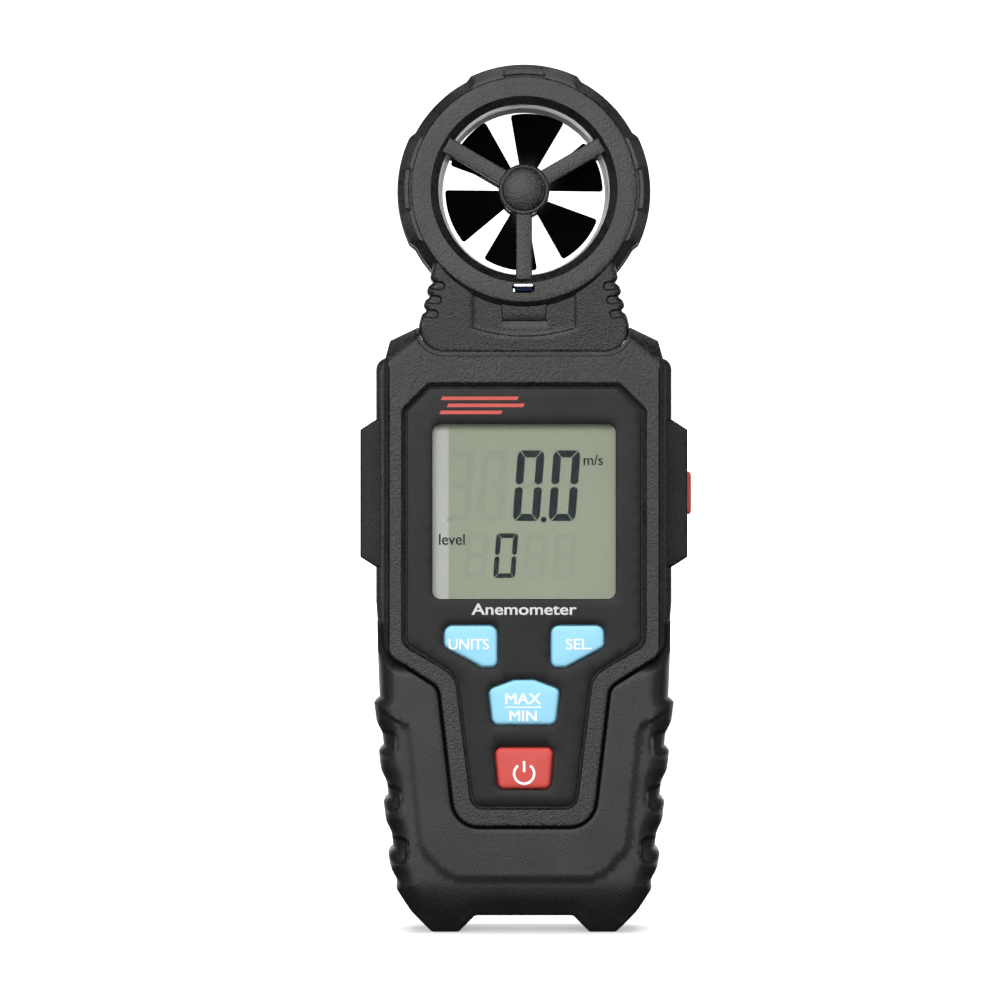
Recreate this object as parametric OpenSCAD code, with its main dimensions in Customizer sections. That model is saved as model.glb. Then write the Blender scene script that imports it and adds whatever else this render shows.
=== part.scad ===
// Handheld weather meter: a palm-held body with a vane head that measures wind speed.
// +X is to the right of the display, +Y is towards the back, +Z is up.
// The origin is on the floor, midway between the two feet. Millimetres.

/* [Body] */
// Width over the side rails
rail_w = 59.4; // [59:0.2:61]
// Depth from the raised front face to the back face
body_d = 33; // [32.5:0.5:36]
// Height of the shoulders beside the neck
shoulder_h = 120; // [119.5:0.5:121]
// Wall thickness of the shells
wall = 1.8; // [1.5:0.1:2]
// Thickness of the grips moulded over the shells
grip_t = 1.5; // [1.2:0.1:1.6]
// Number of ribs down each side of the grips
grip_ribs = 4; // [2:1:4]

/* [Display] */
// Width of the display window
window_w = 36.4; // [34:0.2:37]
// Height of the display window
window_h = 34.8; // [33:0.2:35]
// Height of the window's centre above the floor
window_z = 84.1; // [84:0.1:84.6]

/* [Keys] */
// How far each front key can be pressed
key_travel = 0.8; // [0.4:0.1:0.8]
// How far the front keys stand out of the panel
key_proud = 0.8; // [0.4:0.1:1]
// Gap around each key
key_gap = 0.3; // [0.2:0.05:0.4]
// Height of the side key along the body
side_key_h = 8.6; // [7:0.2:9]
// How far the side key stands out of its pad
side_key_proud = 0.9; // [0.9:0.1:1.2]

/* [Vane head] */
// Height of the impeller's axis above the floor
axis_z = 148.3; // [148:0.1:149]
// Outer radius of the head at its three lobes
head_r = 25.1; // [25:0.1:25.5]
// Inner radius of the air duct
duct_r = 17.1; // [16.8:0.1:17.3]
// Depth of the head from its front bezel to its rear face
head_d = 20; // [20:0.5:22]
// Number of impeller blades
blades = 6; // [4:1:8]
// Radius over the blade tips
blade_r = 15.8; // [15:0.1:16]
// Angle that each blade covers, seen along the axis
blade_arc = 40; // [25:1:44]
// Length of each blade along the axis
blade_lead = 7; // [5:0.5:7.5]

/* [Hidden] */

$fn = 64;
far = 200;             // longer than anything here, for cutters
slip = 0.2;            // gap around a piece that drops into a seat
half_w = rail_w / 2;

// Depth levels of the body, front to back
y_face = -body_d / 2;
y_panel = y_face + 1.2;        // panel surface
panel_t = 0.8;
y_floor = y_panel + panel_t;   // floor of the panel recess
front_t = 1.5;
y_inner = y_floor + front_t;   // inside of the front wall
y_grip = y_face + 0.9;         // surface of the front grip
y_split = -4;                  // parting plane of the two shells
y_back = body_d / 2;

// Front view outlines. Each is the right half, from the bottom up, and is mirrored.
side_x = half_w - 1.8;         // front shell at the parting plane
face_x = side_x - 0.9;         // edge of the front shell's raised face
panel_x = 23.3;
panel_pts = [[10.1, 25.2], [13.3, 51.4], [panel_x, 57.7], [panel_x, 104], [18.5, 108.7]];
face_border = 3.8;             // raised band around the panel
face_slope = 1.4;              // width of the slope from the band down to the panel
groove_w = 0.9;
neck_w = 42;                   // width of the neck where it meets the body
neck_z = 115.9;
neck_corner = 5;
tongue_x = 14.8;               // half width of the tongue that the shells clamp
foot_in = 13.2;
foot_out = 18.8;
notch_h = 3;

rib_pitch = 9.9;
rib_top = 46.7;
rib_step = 0.7;
grip_x = function(z) 29.5 - 0.08 * (45.7 - z);
grip_low = [[10, notch_h], [foot_in, 0], [foot_out, 0], [21.4, notch_h], [23.4, 5.7], [25.1, 8.8]];
grip_side = [for (i = [grip_ribs - 1:-1:0], p = [5.5, 1, 0])
  let (z = rib_top - i * rib_pitch - p) [grip_x(z) - (p == 1 ? 0 : rib_step), z]];
grip_pts = concat(grip_low, grip_side, [[side_x, rib_top + 0.6], [side_x, 60]]);
core_z = 7.2;                  // bottom of the shells under the grips
core_pts = [[18.5, core_z], [24.6 - grip_t, 12.5], [28 - grip_t, 40],
  [side_x, rib_top + 0.6]];
shoulder_pts = [[side_x, 114], [26.8, shoulder_h - 1.8], [22.6, shoulder_h]];
rail_pts = [[half_w, rib_top + 0.6], [half_w, 112.4], [half_w - 0.8, 114.2], [half_w - 2, 114.7],
  [26.4, shoulder_h - 3], [21.5, shoulder_h - 3]];

// Front keys: where each one is and its corners, right half or whole
key_unit_pts = [[-16.2, 57.2], [-8.6, 52.7], [-5.3, 52.7], [-5.3, 61.3], [-16.2, 61.3]];
key_maxmin_pts = [[6.2, 41.3], [7, 48.6], [0, 50.6]];
key_power_pts = [[5.1, 28.4], [5.9, 37]];
switch_at = [[-10.4, 57.4], [10.4, 57.4], [0, 45.8], [0, 32.7]];

// Screws and posts
case_screw_at = [[-23.4, 108], [23.4, 108], [-15.4, 10.8], [15.4, 10.8]];
board_screw_at = [[-20.6, 59], [20.6, 59], [-17, 20], [17, 20]];
head_screw_at = [35, 145, 270];
head_screw_r = 21.6;

// Boards and display, front to back
y_cell = y_inner + 0.1;
cell_t = 2.2;
y_light = y_cell + cell_t;
y_board = y_light + 2.1;
board_t = 1.6;
y_board_back = y_board + board_t;

// Battery bay
cell_r = 5.2;
cell_l = 44;
cell_z = 19;
cell_y = y_back - 7.2;
cell_pitch = 10.9;
bay_x = 17.2;
bay_z0 = 15.6;
bay_z1 = 66.6;
bay_y = cell_y - cell_r - 0.3;
door_t = 1.8;
door_x = 20.2;
door_z0 = 14;
door_z1 = 73.6;
door_screw_z = 70.2;

// Vane head, front to back
y_bezel = y_face + 3;
y_neck = y_bezel + 0.9;
y_head_split = y_neck + 9;
y_head_back = y_bezel + head_d;
bezel_r = head_r - 2.6;
bezel_t = 3;
base_step = 0.9;               // the housing between the lobes is smaller by this
lobe_half = 26.5;              // half angle of a lobe
slope_d = 1.9;                 // depth of the slope around the bezel
rear_grow = 0.4;               // the rear housing is this much larger in radius
liner_t = 0.5;
spoke_w = 3.2;
hub_r = 5.1;
spoke_at = [30, 150, 270];
shaft_r = 0.75;
bore_r = shaft_r + 0.05;
bush_r = 1.6;
y_blade = (y_bezel + y_head_back) / 2;
y_hub0 = y_blade - 4;
y_hub1 = y_blade + 4;

// Side key
side_key_z = 87.8;
side_key_y = 2.5;
side_key_w = 5;
pad_x = 32.9;
pad_z0 = 72.7;
pad_z1 = 102.5;
pad_y0 = side_key_y - 6;
pad_y1 = side_key_y + 6;
pad_end = 2.6;                 // height of the slope at each end of a pad

function mirrored(p) = concat(p, [for (i = [len(p) - 1:-1:0]) [-p[i][0], p[i][1]]]);

// A front view, side view or plan, drawn flat and stretched to a solid
module front_view(y0, y1) translate([0, y1, 0]) rotate([90, 0, 0]) linear_extrude(y1 - y0) children();
module side_view(x0, x1) translate([x0, 0, 0]) rotate([90, 0, 90]) linear_extrude(x1 - x0) children();
module plan_view(z0, z1) translate([0, 0, z0]) linear_extrude(z1 - z0) children();
module block(x0, x1, y0, y1, z0, z1) translate([x0, y0, z0]) cube([x1 - x0, y1 - y0, z1 - z0]);
module rod(r, y0, y1, x = 0, z = 0) translate([x, y0, z]) rotate([-90, 0, 0]) cylinder(r = r, h = y1 - y0);
module taper(r0, r1, y0, y1, z = axis_z)
  translate([0, y0, z]) rotate([-90, 0, 0]) cylinder(r1 = r0, r2 = r1, h = y1 - y0);
module soften(r) offset(r = r) offset(r = -2 * r) offset(r = r) children();

module panel_2d(grow = 0) offset(delta = grow) polygon(mirrored(panel_pts));
module neck_seat_2d(grow = 0)
  offset(r = neck_corner + grow) offset(delta = -neck_corner)
    translate([-neck_w / 2, neck_z]) square([neck_w, 40]);
module face_2d() {
  difference() {
    union() {
      intersection() {
        soften(1.5) panel_2d(face_border);
        translate([-face_x, 0]) square([2 * face_x, 100]);
      }
      polygon(concat([[-face_x, 62], [face_x, 62], [face_x, 114]],
        [[26.2, shoulder_h - 1.8], [21, shoulder_h], [-21, shoulder_h], [-26.2, shoulder_h - 1.8]],
        [[-face_x, 114]]));
    }
    neck_seat_2d(0.5);
  }
}
module base_2d() {
  difference() {
    polygon(mirrored(concat(core_pts, shoulder_pts)));
    neck_seat_2d();
  }
}
module rear_2d() {
  difference() {
    polygon(mirrored(concat(core_pts, rail_pts)));
    neck_seat_2d();
  }
}
module key_2d(k) {
  if (k == 0) soften(1) polygon(key_unit_pts);
  if (k == 1) mirror([1, 0]) soften(1) polygon(key_unit_pts);
  if (k == 2) soften(1) polygon(mirrored(key_maxmin_pts));
  if (k == 3) soften(1) polygon(mirrored(key_power_pts));
}

// Cross section of the closed body, seen from above, and its side view
module body_plan_2d() polygon(mirrored([
  [face_x, y_face], [side_x, y_face + 2], [side_x, y_split], [half_w - 1.6, y_split],
  [half_w, y_split + 1.6], [half_w, y_back - 4], [half_w - 1.2, y_back - 1.2], [half_w - 4, y_back]]));
module body_side_2d() polygon([
  [-11, 0], [12, 0], [y_back - 1.5, 2.5], [y_back, 7], [y_back, 96], [y_back - 3, 111], [y_back - 6, 120],
  [y_back - 6, 122], [y_face + 3, 122], [y_face + 0.8, shoulder_h - 2], [y_face, 116], [y_face, 11],
  [y_face + 1.4, 6.5], [y_face + 3.5, 3]]);
module in_body() {
  intersection() {
    children();
    plan_view(-1, shoulder_h + 1) body_plan_2d();
    side_view(-far / 2, far / 2) body_side_2d();
  }
}

module front_shell() color("#4a4a4b") {
  difference() {
    in_body() union() {
      front_view(y_face, y_floor) face_2d();
      front_view(y_face + 1.5, y_split) base_2d();
    }
    // Slope down to the panel, and its seat
    front_view(y_face - 1, y_face + 0.6) panel_2d(face_slope);
    front_view(y_face - 1, y_floor) panel_2d(0.15);
    // Room inside
    difference() {
      front_view(y_inner, y_split + 1) offset(delta = -wall) base_2d();
      for (p = case_screw_at) rod(3, y_inner - 1, y_split + 2, p[0], p[1]);
      for (p = board_screw_at) rod(2.2, y_inner - 1, y_board, p[0], p[1]);
    }
    // Window, keys, neck tongue and screw holes
    front_view(y_face, y_inner + 1)
      translate([0, window_z]) square([window_w + 0.4, window_h + 0.4], center = true);
    for (k = [0:3]) front_view(y_face, y_inner + 1) offset(delta = key_gap) key_2d(k);
    block(-tongue_x - slip, tongue_x + slip, y_neck + 2.8, y_split + 1, 100, neck_z + 1);
    for (p = case_screw_at) rod(1.3, y_split - 7, y_split + 1, p[0], p[1]);
    for (p = board_screw_at) rod(0.8, y_board - 3, y_board + 1, p[0], p[1]);
  }
}

module front_grip() color("#464646") {
  in_body() difference() {
    front_view(y_grip, y_split) polygon(mirrored(grip_pts));
    front_view(y_face - 1, y_floor) offset(delta = groove_w) face_2d();
    front_view(y_face + 1.5, y_split + 1) base_2d();
  }
}

module rear_shell() color("#3a3a3b") {
  difference() {
    in_body() front_view(y_split, y_back) rear_2d();
    // Room for the boards, then the bay behind its floor
    difference() {
      front_view(y_split - 1, y_back - wall) offset(delta = -wall) rear_2d();
      block(-bay_x - 1.6, bay_x + 1.6, bay_y - 1.6, y_back, 0, bay_z1 + 1.6);
      for (p = case_screw_at) rod(3, y_split - 2, y_back, p[0], p[1]);
      // The sloping back of the shoulders stays solid
      side_view(-far / 2, far / 2)
        polygon([[y_back - wall, 94], [y_back - wall, 122], [y_back - 12, 122], [y_back - 9, 116]]);
      rod(3.2, y_back - 9, y_back, 0, door_screw_z);
      block(-6, 6, y_back - 9, y_back, bay_z1, door_screw_z);
    }
    block(-bay_x, bay_x, bay_y, y_back + 1, bay_z0, bay_z1);
    // Seat of the battery door and its screw
    block(-door_x - slip, door_x + slip, y_back - door_t - slip, y_back + 1, door_z0 - slip, door_z1 + slip);
    rod(1.4, y_back - 7, y_back, 0, door_screw_z);
    // Neck tongue, screw wells and the hole for the side key
    block(-tongue_x - slip, tongue_x + slip, y_split - 1, y_head_back - 3, 100, neck_z + 1);
    for (p = case_screw_at) rod(1.5, y_split - 1, y_back, p[0], p[1]);
    for (p = case_screw_at) rod(2.6, y_back - 6.5, y_back + 1, p[0], p[1]);
    side_key_hole(half_w - wall - 2);
  }
}

module side_key_hole(x0) {
  block(x0, far, side_key_y - side_key_w / 2 - key_gap, side_key_y + side_key_w / 2 + key_gap,
    side_key_z - side_key_h / 2 - key_gap, side_key_z + side_key_h / 2 + key_gap);
}

module rear_grip() color("#333333") {
  in_body() difference() {
    front_view(y_split, y_back - 4.5) intersection() {
      polygon(mirrored(grip_pts));
      translate([-far / 2, -1]) square([far, rib_top + 1.6]);
    }
    front_view(y_split - 1, y_back) rear_2d();
  }
}

module side_pad(side) color("#363636") {
  difference() {
    intersection() {
      mirror([side < 0 ? 1 : 0, 0, 0]) front_view(pad_y0, pad_y1)
        polygon([[half_w, pad_z0], [pad_x, pad_z0 + pad_end], [pad_x, pad_z1 - pad_end], [half_w, pad_z1]]);
      plan_view(0, far) polygon(mirrored([[half_w - 1, pad_y0], [pad_x, pad_y0 + 0.6],
        [pad_x, pad_y1 - 1.5], [half_w - 1, pad_y1]]));
    }
    if (side > 0) side_key_hole(half_w - 2);
  }
}

module front_panel() color("#3a3a3a") {
  front_view(y_panel, y_floor) difference() {
    panel_2d();
    translate([0, window_z]) soften(1.6) square([window_w, window_h], center = true);
    for (k = [0:3]) offset(delta = key_gap) key_2d(k);
  }
}

module display_window() color("#b7c4b0", 0.5) {
  front_view(y_panel + 0.3, y_panel + 1.3)
    translate([0, window_z]) soften(1.5) square([window_w - 0.2, window_h - 0.2], center = true);
}

module display_cell() color("#98a28a") {
  block(-20, 20, y_cell, y_light, window_z - 19.5, window_z + 19);
}

module display_frame() color("#e4e4e0") {
  difference() {
    block(-22, 22, y_cell, y_board, window_z - 21.5, window_z + 20.6);
    block(-20.1, 20.1, y_cell - 1, y_board + 1, window_z - 19.6, window_z + 19.1);
  }
}

module backlight() color("#f2f2e8") {
  block(-19.8, 19.8, y_light, y_light + 1.3, window_z - 15.5, window_z + 18.9);
}

module contact_strip() color("#d58aa0") {
  block(-19, 19, y_light, y_board, window_z - 19.3, window_z - 16);
}

module main_board() color("#2c6a3a") {
  difference() {
    front_view(y_board, y_board_back)
      polygon(mirrored([[18, 14.5], [21.8, 22], [22.6, 46], [24.4, 58], [24.4, 103.8]]));
    for (p = board_screw_at) rod(1.1, y_board - 1, y_board_back + 1, p[0], p[1]);
  }
}

module board_chips() color("#1d1d1f") {
  block(-12, -2, y_board_back, y_board_back + 1.4, 76, 86);
  block(5, 10, y_board_back, y_board_back + 1.5, 90, 96);
  block(-16, -12, y_board_back, y_board_back + 1.2, 92, 97);
  block(-4, 4, y_board - 1.1, y_board, 37.5, 41);
}

module buzzer() color("#18181a") {
  difference() {
    rod(6, y_board_back, y_board_back + 5, 9, 79);
    rod(1, y_board_back + 4, y_board_back + 6, 9, 79);
  }
}

module board_screws() color("#b9bcc0") {
  for (p = board_screw_at) {
    rod(0.75, y_board - 2.5, y_board_back + 1, p[0], p[1]);
    rod(1.9, y_board_back, y_board_back + 1.2, p[0], p[1]);
  }
}

module key_switches() color("#c9c9c4") {
  for (p = switch_at) {
    block(p[0] - 3, p[0] + 3, y_board - 1.2, y_board, p[1] - 3, p[1] + 3);
    rod(1.7, y_board - 1.5, y_board, p[0], p[1]);
  }
}

module side_board() color("#2c6a3a") {
  block(18.6, 19.6, y_board_back, side_key_y + 3.5, side_key_z - 5, side_key_z + 5);
}

module side_switch() color("#c9c9c4") {
  block(19.6, 23.2, side_key_y - 3, side_key_y + 3, side_key_z - 3, side_key_z + 3);
  translate([19.6, side_key_y, side_key_z]) rotate([0, 90, 0]) cylinder(r = 1.75, h = 4);
}

module front_key(k, tint) color(tint) {
  front_view(y_panel - key_proud, y_inner + 0.2) key_2d(k);
  front_view(y_inner + 0.15, y_inner + 0.95) offset(delta = 0.7) key_2d(k);
  rod(1.6, y_inner + 0.5, y_board - 1.5 - key_travel - 0.2, switch_at[k][0], switch_at[k][1]);
}

module side_key() color("#d8483e") {
  y0 = side_key_y - side_key_w / 2;
  z0 = side_key_z - side_key_h / 2;
  block(half_w - wall - 1, pad_x + side_key_proud, y0, y0 + side_key_w, z0, z0 + side_key_h);
  block(half_w - wall - 2.2, half_w - wall - 1, y0 - 0.8, y0 + side_key_w + 0.8,
    z0 - 0.8, z0 + side_key_h + 0.8);
  block(24.7, half_w - wall - 2, side_key_y - 1.5, side_key_y + 1.5, side_key_z - 1.5, side_key_z + 1.5);
}

module dry_cell(i) color("#8c8f94") {
  x = (i - 1) * cell_pitch;
  translate([x, cell_y, cell_z]) cylinder(r = cell_r, h = cell_l);
  translate([x, cell_y, i == 1 ? cell_z - 0.9 : cell_z + cell_l - 0.1]) cylinder(r = 1.9, h = 1);
}

module contact_springs() color("#c4c7cb") {
  coils = 3;
  for (i = [0:2]) {
    up = i == 1;
    z0 = up ? bay_z1 : bay_z0;
    dir = up ? -1 : 1;
    x = (i - 1) * cell_pitch;
    block(x - 4, x + 4, cell_y - 4, cell_y + 4, min(z0, z0 + dir * 0.5), max(z0, z0 + dir * 0.5));
    for (c = [0:coils - 1]) translate([x, cell_y, z0 + dir * (0.8 + c * 0.9)])
      rotate_extrude() translate([3.4 - 0.6 * c, 0]) circle(r = 0.38);
  }
}

module contact_plates() color("#c4c7cb") {
  for (i = [0:2]) {
    up = i != 1;
    x = (i - 1) * cell_pitch;
    z_tip = up ? cell_z + cell_l + 0.9 : cell_z - 0.9;
    z_wall = up ? bay_z1 : bay_z0;
    block(x - 3.5, x + 3.5, cell_y - 3.5, cell_y + 3.5, min(z_tip, z_wall), max(z_tip, z_wall));
  }
}

module battery_door() color("#3a3a3b") {
  difference() {
    union() {
      block(-door_x, door_x, y_back - door_t, y_back, door_z0, door_z1);
      // Pads that hold the cells down
      for (i = [-1, 1]) block(i * cell_pitch / 2 - 1, i * cell_pitch / 2 + 1,
        y_back - door_t - 2, y_back - door_t,
        24, 58);
    }
    rod(1.4, y_back - 3, y_back + 1, 0, door_screw_z);
    rod(2.5, y_back - 1, y_back + 1, 0, door_screw_z);
    // Grooves for the thumb
    for (i = [0:4]) block(-8, 8, y_back - 0.5, y_back + 1, 18 + i * 2, 19 + i * 2);
  }
}

module door_screw() color("#b9bcc0") {
  difference() {
    union() {
      rod(1.3, y_back - 6, y_back - 0.9, 0, door_screw_z);
      rod(2.4, y_back - 1, y_back - 0.1, 0, door_screw_z);
    }
    cross_slot(0, door_screw_z, y_back - 0.6);
  }
}

module cross_slot(x, z, y) {
  block(x - 1.4, x + 1.4, y, y + 1, z - 0.25, z + 0.25);
  block(x - 0.25, x + 0.25, y, y + 1, z - 1.4, z + 1.4);
}

module case_screws() color("#b9bcc0") {
  y_seat = y_back - 6.5;
  for (p = case_screw_at) difference() {
    union() {
      rod(1.25, y_split - 6, y_seat + 0.5, p[0], p[1]);
      rod(2.4, y_seat, y_seat + 1.6, p[0], p[1]);
    }
    cross_slot(p[0], p[1], y_seat + 0.8);
  }
}

// The head's outline: a circle with three lobes, at the top, the left and the right
module sector_2d(r, half, at) {
  intersection() {
    circle(r = r);
    rotate(at) polygon([[0, 0], [far, -far * tan(half)], [far, far * tan(half)]]);
  }
}
module lobed_2d(r, r_base) {
  circle(r = r_base);
  for (a = [0, 90, 180]) sector_2d(r, lobe_half, a);
}
module at_axis(y0, y1) translate([0, 0, axis_z]) front_view(y0, y1) children();

module neck_2d() {
  difference() {
    union() {
      intersection() {
        polygon(mirrored([[neck_w / 2, neck_z], [neck_w / 2, 121.3], [18.7, 131.7], [18.7, 134], [12, 138]]));
        neck_seat_2d();
      }
      translate([-tongue_x, neck_z - 9]) square([2 * tongue_x, 12]);
    }
    // Scallops between the finger ribs
    for (i = [0:2], s = [-1, 1]) translate([s * (20.6 - i * 0.6 + 0.2), 123.4 + i * 2.8])
      circle(r = 0.95);
  }
}

module head_front() color("#555552") {
  difference() {
    union() {
      // Ring: a sloping front edge, then a straight side
      at_axis(y_neck + slope_d - 0.9, y_head_split) lobed_2d(head_r, head_r - base_step);
      taper(bezel_r + 0.1, head_r - base_step, y_neck - 0.4, y_neck + 1.3);
      intersection() {
        at_axis(y_neck - 0.4, y_neck + 3) lobed_2d(head_r, 10);
        taper(bezel_r + 0.8, head_r, y_neck - 0.4, y_neck + slope_d);
      }
      // Raised pads in the middle of each lobe
      for (a = [0, 90, 180]) at_axis(y_neck - 0.2, y_neck + 2) intersection() {
        sector_2d(head_r - 1.2, 9.5, a);
        difference() {
          circle(r = head_r);
          circle(r = bezel_r + 0.6);
        }
      }
      // Neck and the tongue that the shells clamp
      front_view(y_neck, y_head_split) difference() {
        neck_2d();
        translate([-far / 2, -far]) square([far, far + neck_z]);
      }
      front_view(y_neck + 3, y_head_split) intersection() {
        neck_2d();
        translate([-tongue_x, 100]) square([2 * tongue_x, 20]);
      }
    }
    // Seat of the bezel, and the duct
    rod(bezel_r, y_face - 1, y_bezel + bezel_t, 0, axis_z);
    rod(duct_r + liner_t, y_face, y_head_split + 1, 0, axis_z);
    // Shallow framed panel on the neck
    front_view(y_neck - 1, y_neck + 0.5) difference() {
      polygon([[-10.6, 120.7], [-5.3, 119.3], [0, 118.8], [5.3, 119.3], [10.6, 120.7],
        [10.6, 129], [-10.6, 129]]);
      polygon([[-4.6, 129], [-4.2, 121.7], [4.2, 121.7], [4.6, 129]]);
    }
    // Pockets beside the scallops
    for (i = [0:2], s = [-1, 1]) front_view(y_neck - 1, y_neck + 1.1)
      translate([s * (18.6 - i * 0.6), 123.4 + i * 2.8]) square([5, 1.3], center = true);
    // Room for the sensor board, the air sensor and the cable
    block(-7.2, 7.2, y_neck + 4, y_head_split + 1, neck_z + 1.2, 127.4);
    block(-2.4, 2.4, y_bezel, y_neck + 5, 127, 129.6);
    block(-3.4, 3.4, y_neck + 4, y_head_split + 1, 100, 120);
    for (a = head_screw_at) rod(0.9, y_head_split - 3.5, y_head_split + 1,
      head_screw_r * cos(a), axis_z + head_screw_r * sin(a));
  }
}

module head_rear() color("#4a4a48") {
  r = head_r + rear_grow;
  difference() {
    union() {
      intersection() {
        at_axis(y_head_split, y_head_back) lobed_2d(r, r - base_step);
        union() {
          taper(r + 0.1, r + 0.1, y_head_split, y_head_back - 1.5);
          taper(r + 0.1, r - 1.6, y_head_back - 1.5, y_head_back);
        }
      }
      front_view(y_head_split, y_head_back - 1.5) difference() {
        neck_2d();
        translate([-far / 2, -far]) square([far, far + neck_z]);
      }
      front_view(y_head_split, y_head_back - 4) intersection() {
        neck_2d();
        translate([-tongue_x, 100]) square([2 * tongue_x, 20]);
      }
    }
    rod(duct_r + liner_t, y_head_split - 1, y_head_back, 0, axis_z);
    rod(duct_r + 2.4, y_head_back - 2, y_head_back + 1, 0, axis_z);
    for (a = head_screw_at) {
      rod(1.1, y_head_split - 1, y_head_back, head_screw_r * cos(a), axis_z + head_screw_r * sin(a));
      rod(1.8, y_head_back - 3, y_head_back + 1, head_screw_r * cos(a), axis_z + head_screw_r * sin(a));
    }
  }
}

module spokes_2d(r) {
  for (a = spoke_at) rotate(a) translate([0, -spoke_w / 2]) square([r, spoke_w]);
}

module front_bezel() color("#5a5a58") {
  difference() {
    rod(bezel_r - 0.1, y_bezel, y_bezel + bezel_t, 0, axis_z);
    taper(duct_r + 1.5, duct_r, y_bezel, y_bezel + 1.5);
    rod(duct_r, y_bezel - 1, y_bezel + bezel_t + 1, 0, axis_z);
    at_axis(y_bezel - 1, y_bezel + bezel_t + 1) translate([0, 128.8 - axis_z]) soften(0.8)
      square([4.6, 1.8], center = true);
  }
  difference() {
    union() {
      at_axis(y_bezel + 0.6, y_bezel + 2.6) intersection() {
        spokes_2d(duct_r + 1);
        circle(r = duct_r + 0.3);
      }
      rod(hub_r, y_bezel + 0.2, y_hub0 - 0.6, 0, axis_z);
    }
    // Seats of the cap, the bush and the hall sensor
    rod(4.4, y_bezel, y_bezel + 0.8, 0, axis_z);
    rod(bush_r, y_hub0 - 3, y_hub0, 0, axis_z);
    block(-1.6, 1.6, y_hub0 - 2.2, y_hub0, axis_z - 4.3, axis_z - 2.5);
  }
}

module hub_cap() color("#5c5c5a") {
  dome_r = 15;
  translate([0, y_bezel + 0.8, axis_z]) rotate([90, 0, 0]) rotate_extrude() intersection() {
    square([4.3, 1.4]);
    translate([0, 1.3 - dome_r]) circle(r = dome_r, $fn = 360);
  }
}

module rear_bezel() color("#4a4a48") {
  difference() {
    rod(duct_r + 2.3, y_head_back - 2, y_head_back - 0.2, 0, axis_z);
    rod(duct_r, y_head_back - 3, y_head_back + 1, 0, axis_z);
  }
  difference() {
    union() {
      at_axis(y_head_back - 2.2, y_head_back - 0.2) intersection() {
        spokes_2d(duct_r + 1);
        circle(r = duct_r + 0.3);
      }
      rod(hub_r, y_hub1 + 0.6, y_head_back - 0.2, 0, axis_z);
    }
    rod(bush_r, y_hub1, y_hub1 + 3, 0, axis_z);
  }
}

module duct_liner() color("#c8c8c6") {
  difference() {
    rod(duct_r + liner_t, y_bezel + bezel_t, y_head_back - 2.2, 0, axis_z);
    rod(duct_r, y_bezel, y_head_back, 0, axis_z);
  }
}

module head_screws() color("#b9bcc0") {
  for (a = head_screw_at) {
    x = head_screw_r * cos(a);
    z = axis_z + head_screw_r * sin(a);
    rod(0.85, y_head_split - 3, y_head_back - 2.5, x, z);
    rod(1.7, y_head_back - 3, y_head_back - 1.9, x, z);
  }
}

// One blade: a thin strip along the radius, turned about the axis while it moves back
module blade(at) {
  steps = 8;
  half_t = 0.45;
  r0 = 3.6;
  section = function(i)
    let (t = i / steps - 0.5, a = at + blade_arc * t, y = y_blade + blade_lead * t)
    [for (p = [[r0, -half_t], [blade_r, -half_t], [blade_r, half_t], [r0, half_t]])
      [p[0] * cos(a), y + p[1], axis_z + p[0] * sin(a)]];
  points = [for (i = [0:steps]) each section(i)];
  sides = [for (i = [0:steps - 1], k = [0:3]) let (a = 4 * i + k, b = 4 * i + (k + 1) % 4)
    each [[a, b + 4, b], [a, a + 4, b + 4]]];
  last = 4 * steps;
  ends = [[0, 2, 3], [0, 1, 2], [last, last + 2, last + 1], [last, last + 3, last + 2]];
  polyhedron(points, concat(sides, ends));
}

module impeller() color("#101010") {
  difference() {
    union() {
      rod(4, y_hub0 + 1.4, y_hub1, 0, axis_z);
      for (i = [0:blades - 1]) blade(19.6 + i * 360 / blades);
    }
    rod(shaft_r, y_hub0, y_hub1 + 1, 0, axis_z);
  }
}

module impeller_shaft() color("#c4c7cb") rod(shaft_r, y_hub0 - 2.8, y_hub1 + 2.8, 0, axis_z);

module pickup_magnet() color("#8a8d92") {
  difference() {
    rod(3.4, y_hub0, y_hub0 + 1.4, 0, axis_z);
    rod(shaft_r, y_hub0 - 1, y_hub0 + 2, 0, axis_z);
  }
}

module bush(y0, y1) color("#b58a3c") {
  difference() {
    rod(bush_r, y0, y1, 0, axis_z);
    rod(bore_r, y0 - 1, y1 + 1, 0, axis_z);
  }
}

module hall_sensor() color("#18181a") {
  block(-1.5, 1.5, y_hub0 - 2.1, y_hub0 - 0.8, axis_z - 4.2, axis_z - 2.6);
}

module sensor_board() color("#2c6a3a") {
  block(-7, 7, y_neck + 4.1, y_neck + 5.1, neck_z + 2, 127.2);
}

module air_sensor() color("#1c2c66") {
  block(-1.6, 1.6, y_bezel + 1, y_bezel + 2.4, 128.1, 129.5);
  block(-0.5, 0.5, y_bezel + 2.4, y_neck + 4.1, 128, 129);
}

module head_cable() color("#d8d8d4") {
  block(-3, 3, y_board_back, y_board_back + 0.8, 102, 119);
}

module cable_plug() color("#efefe8") {
  block(-5, 5, y_board_back, y_board_back + 3, 96.5, 102);
}

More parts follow.
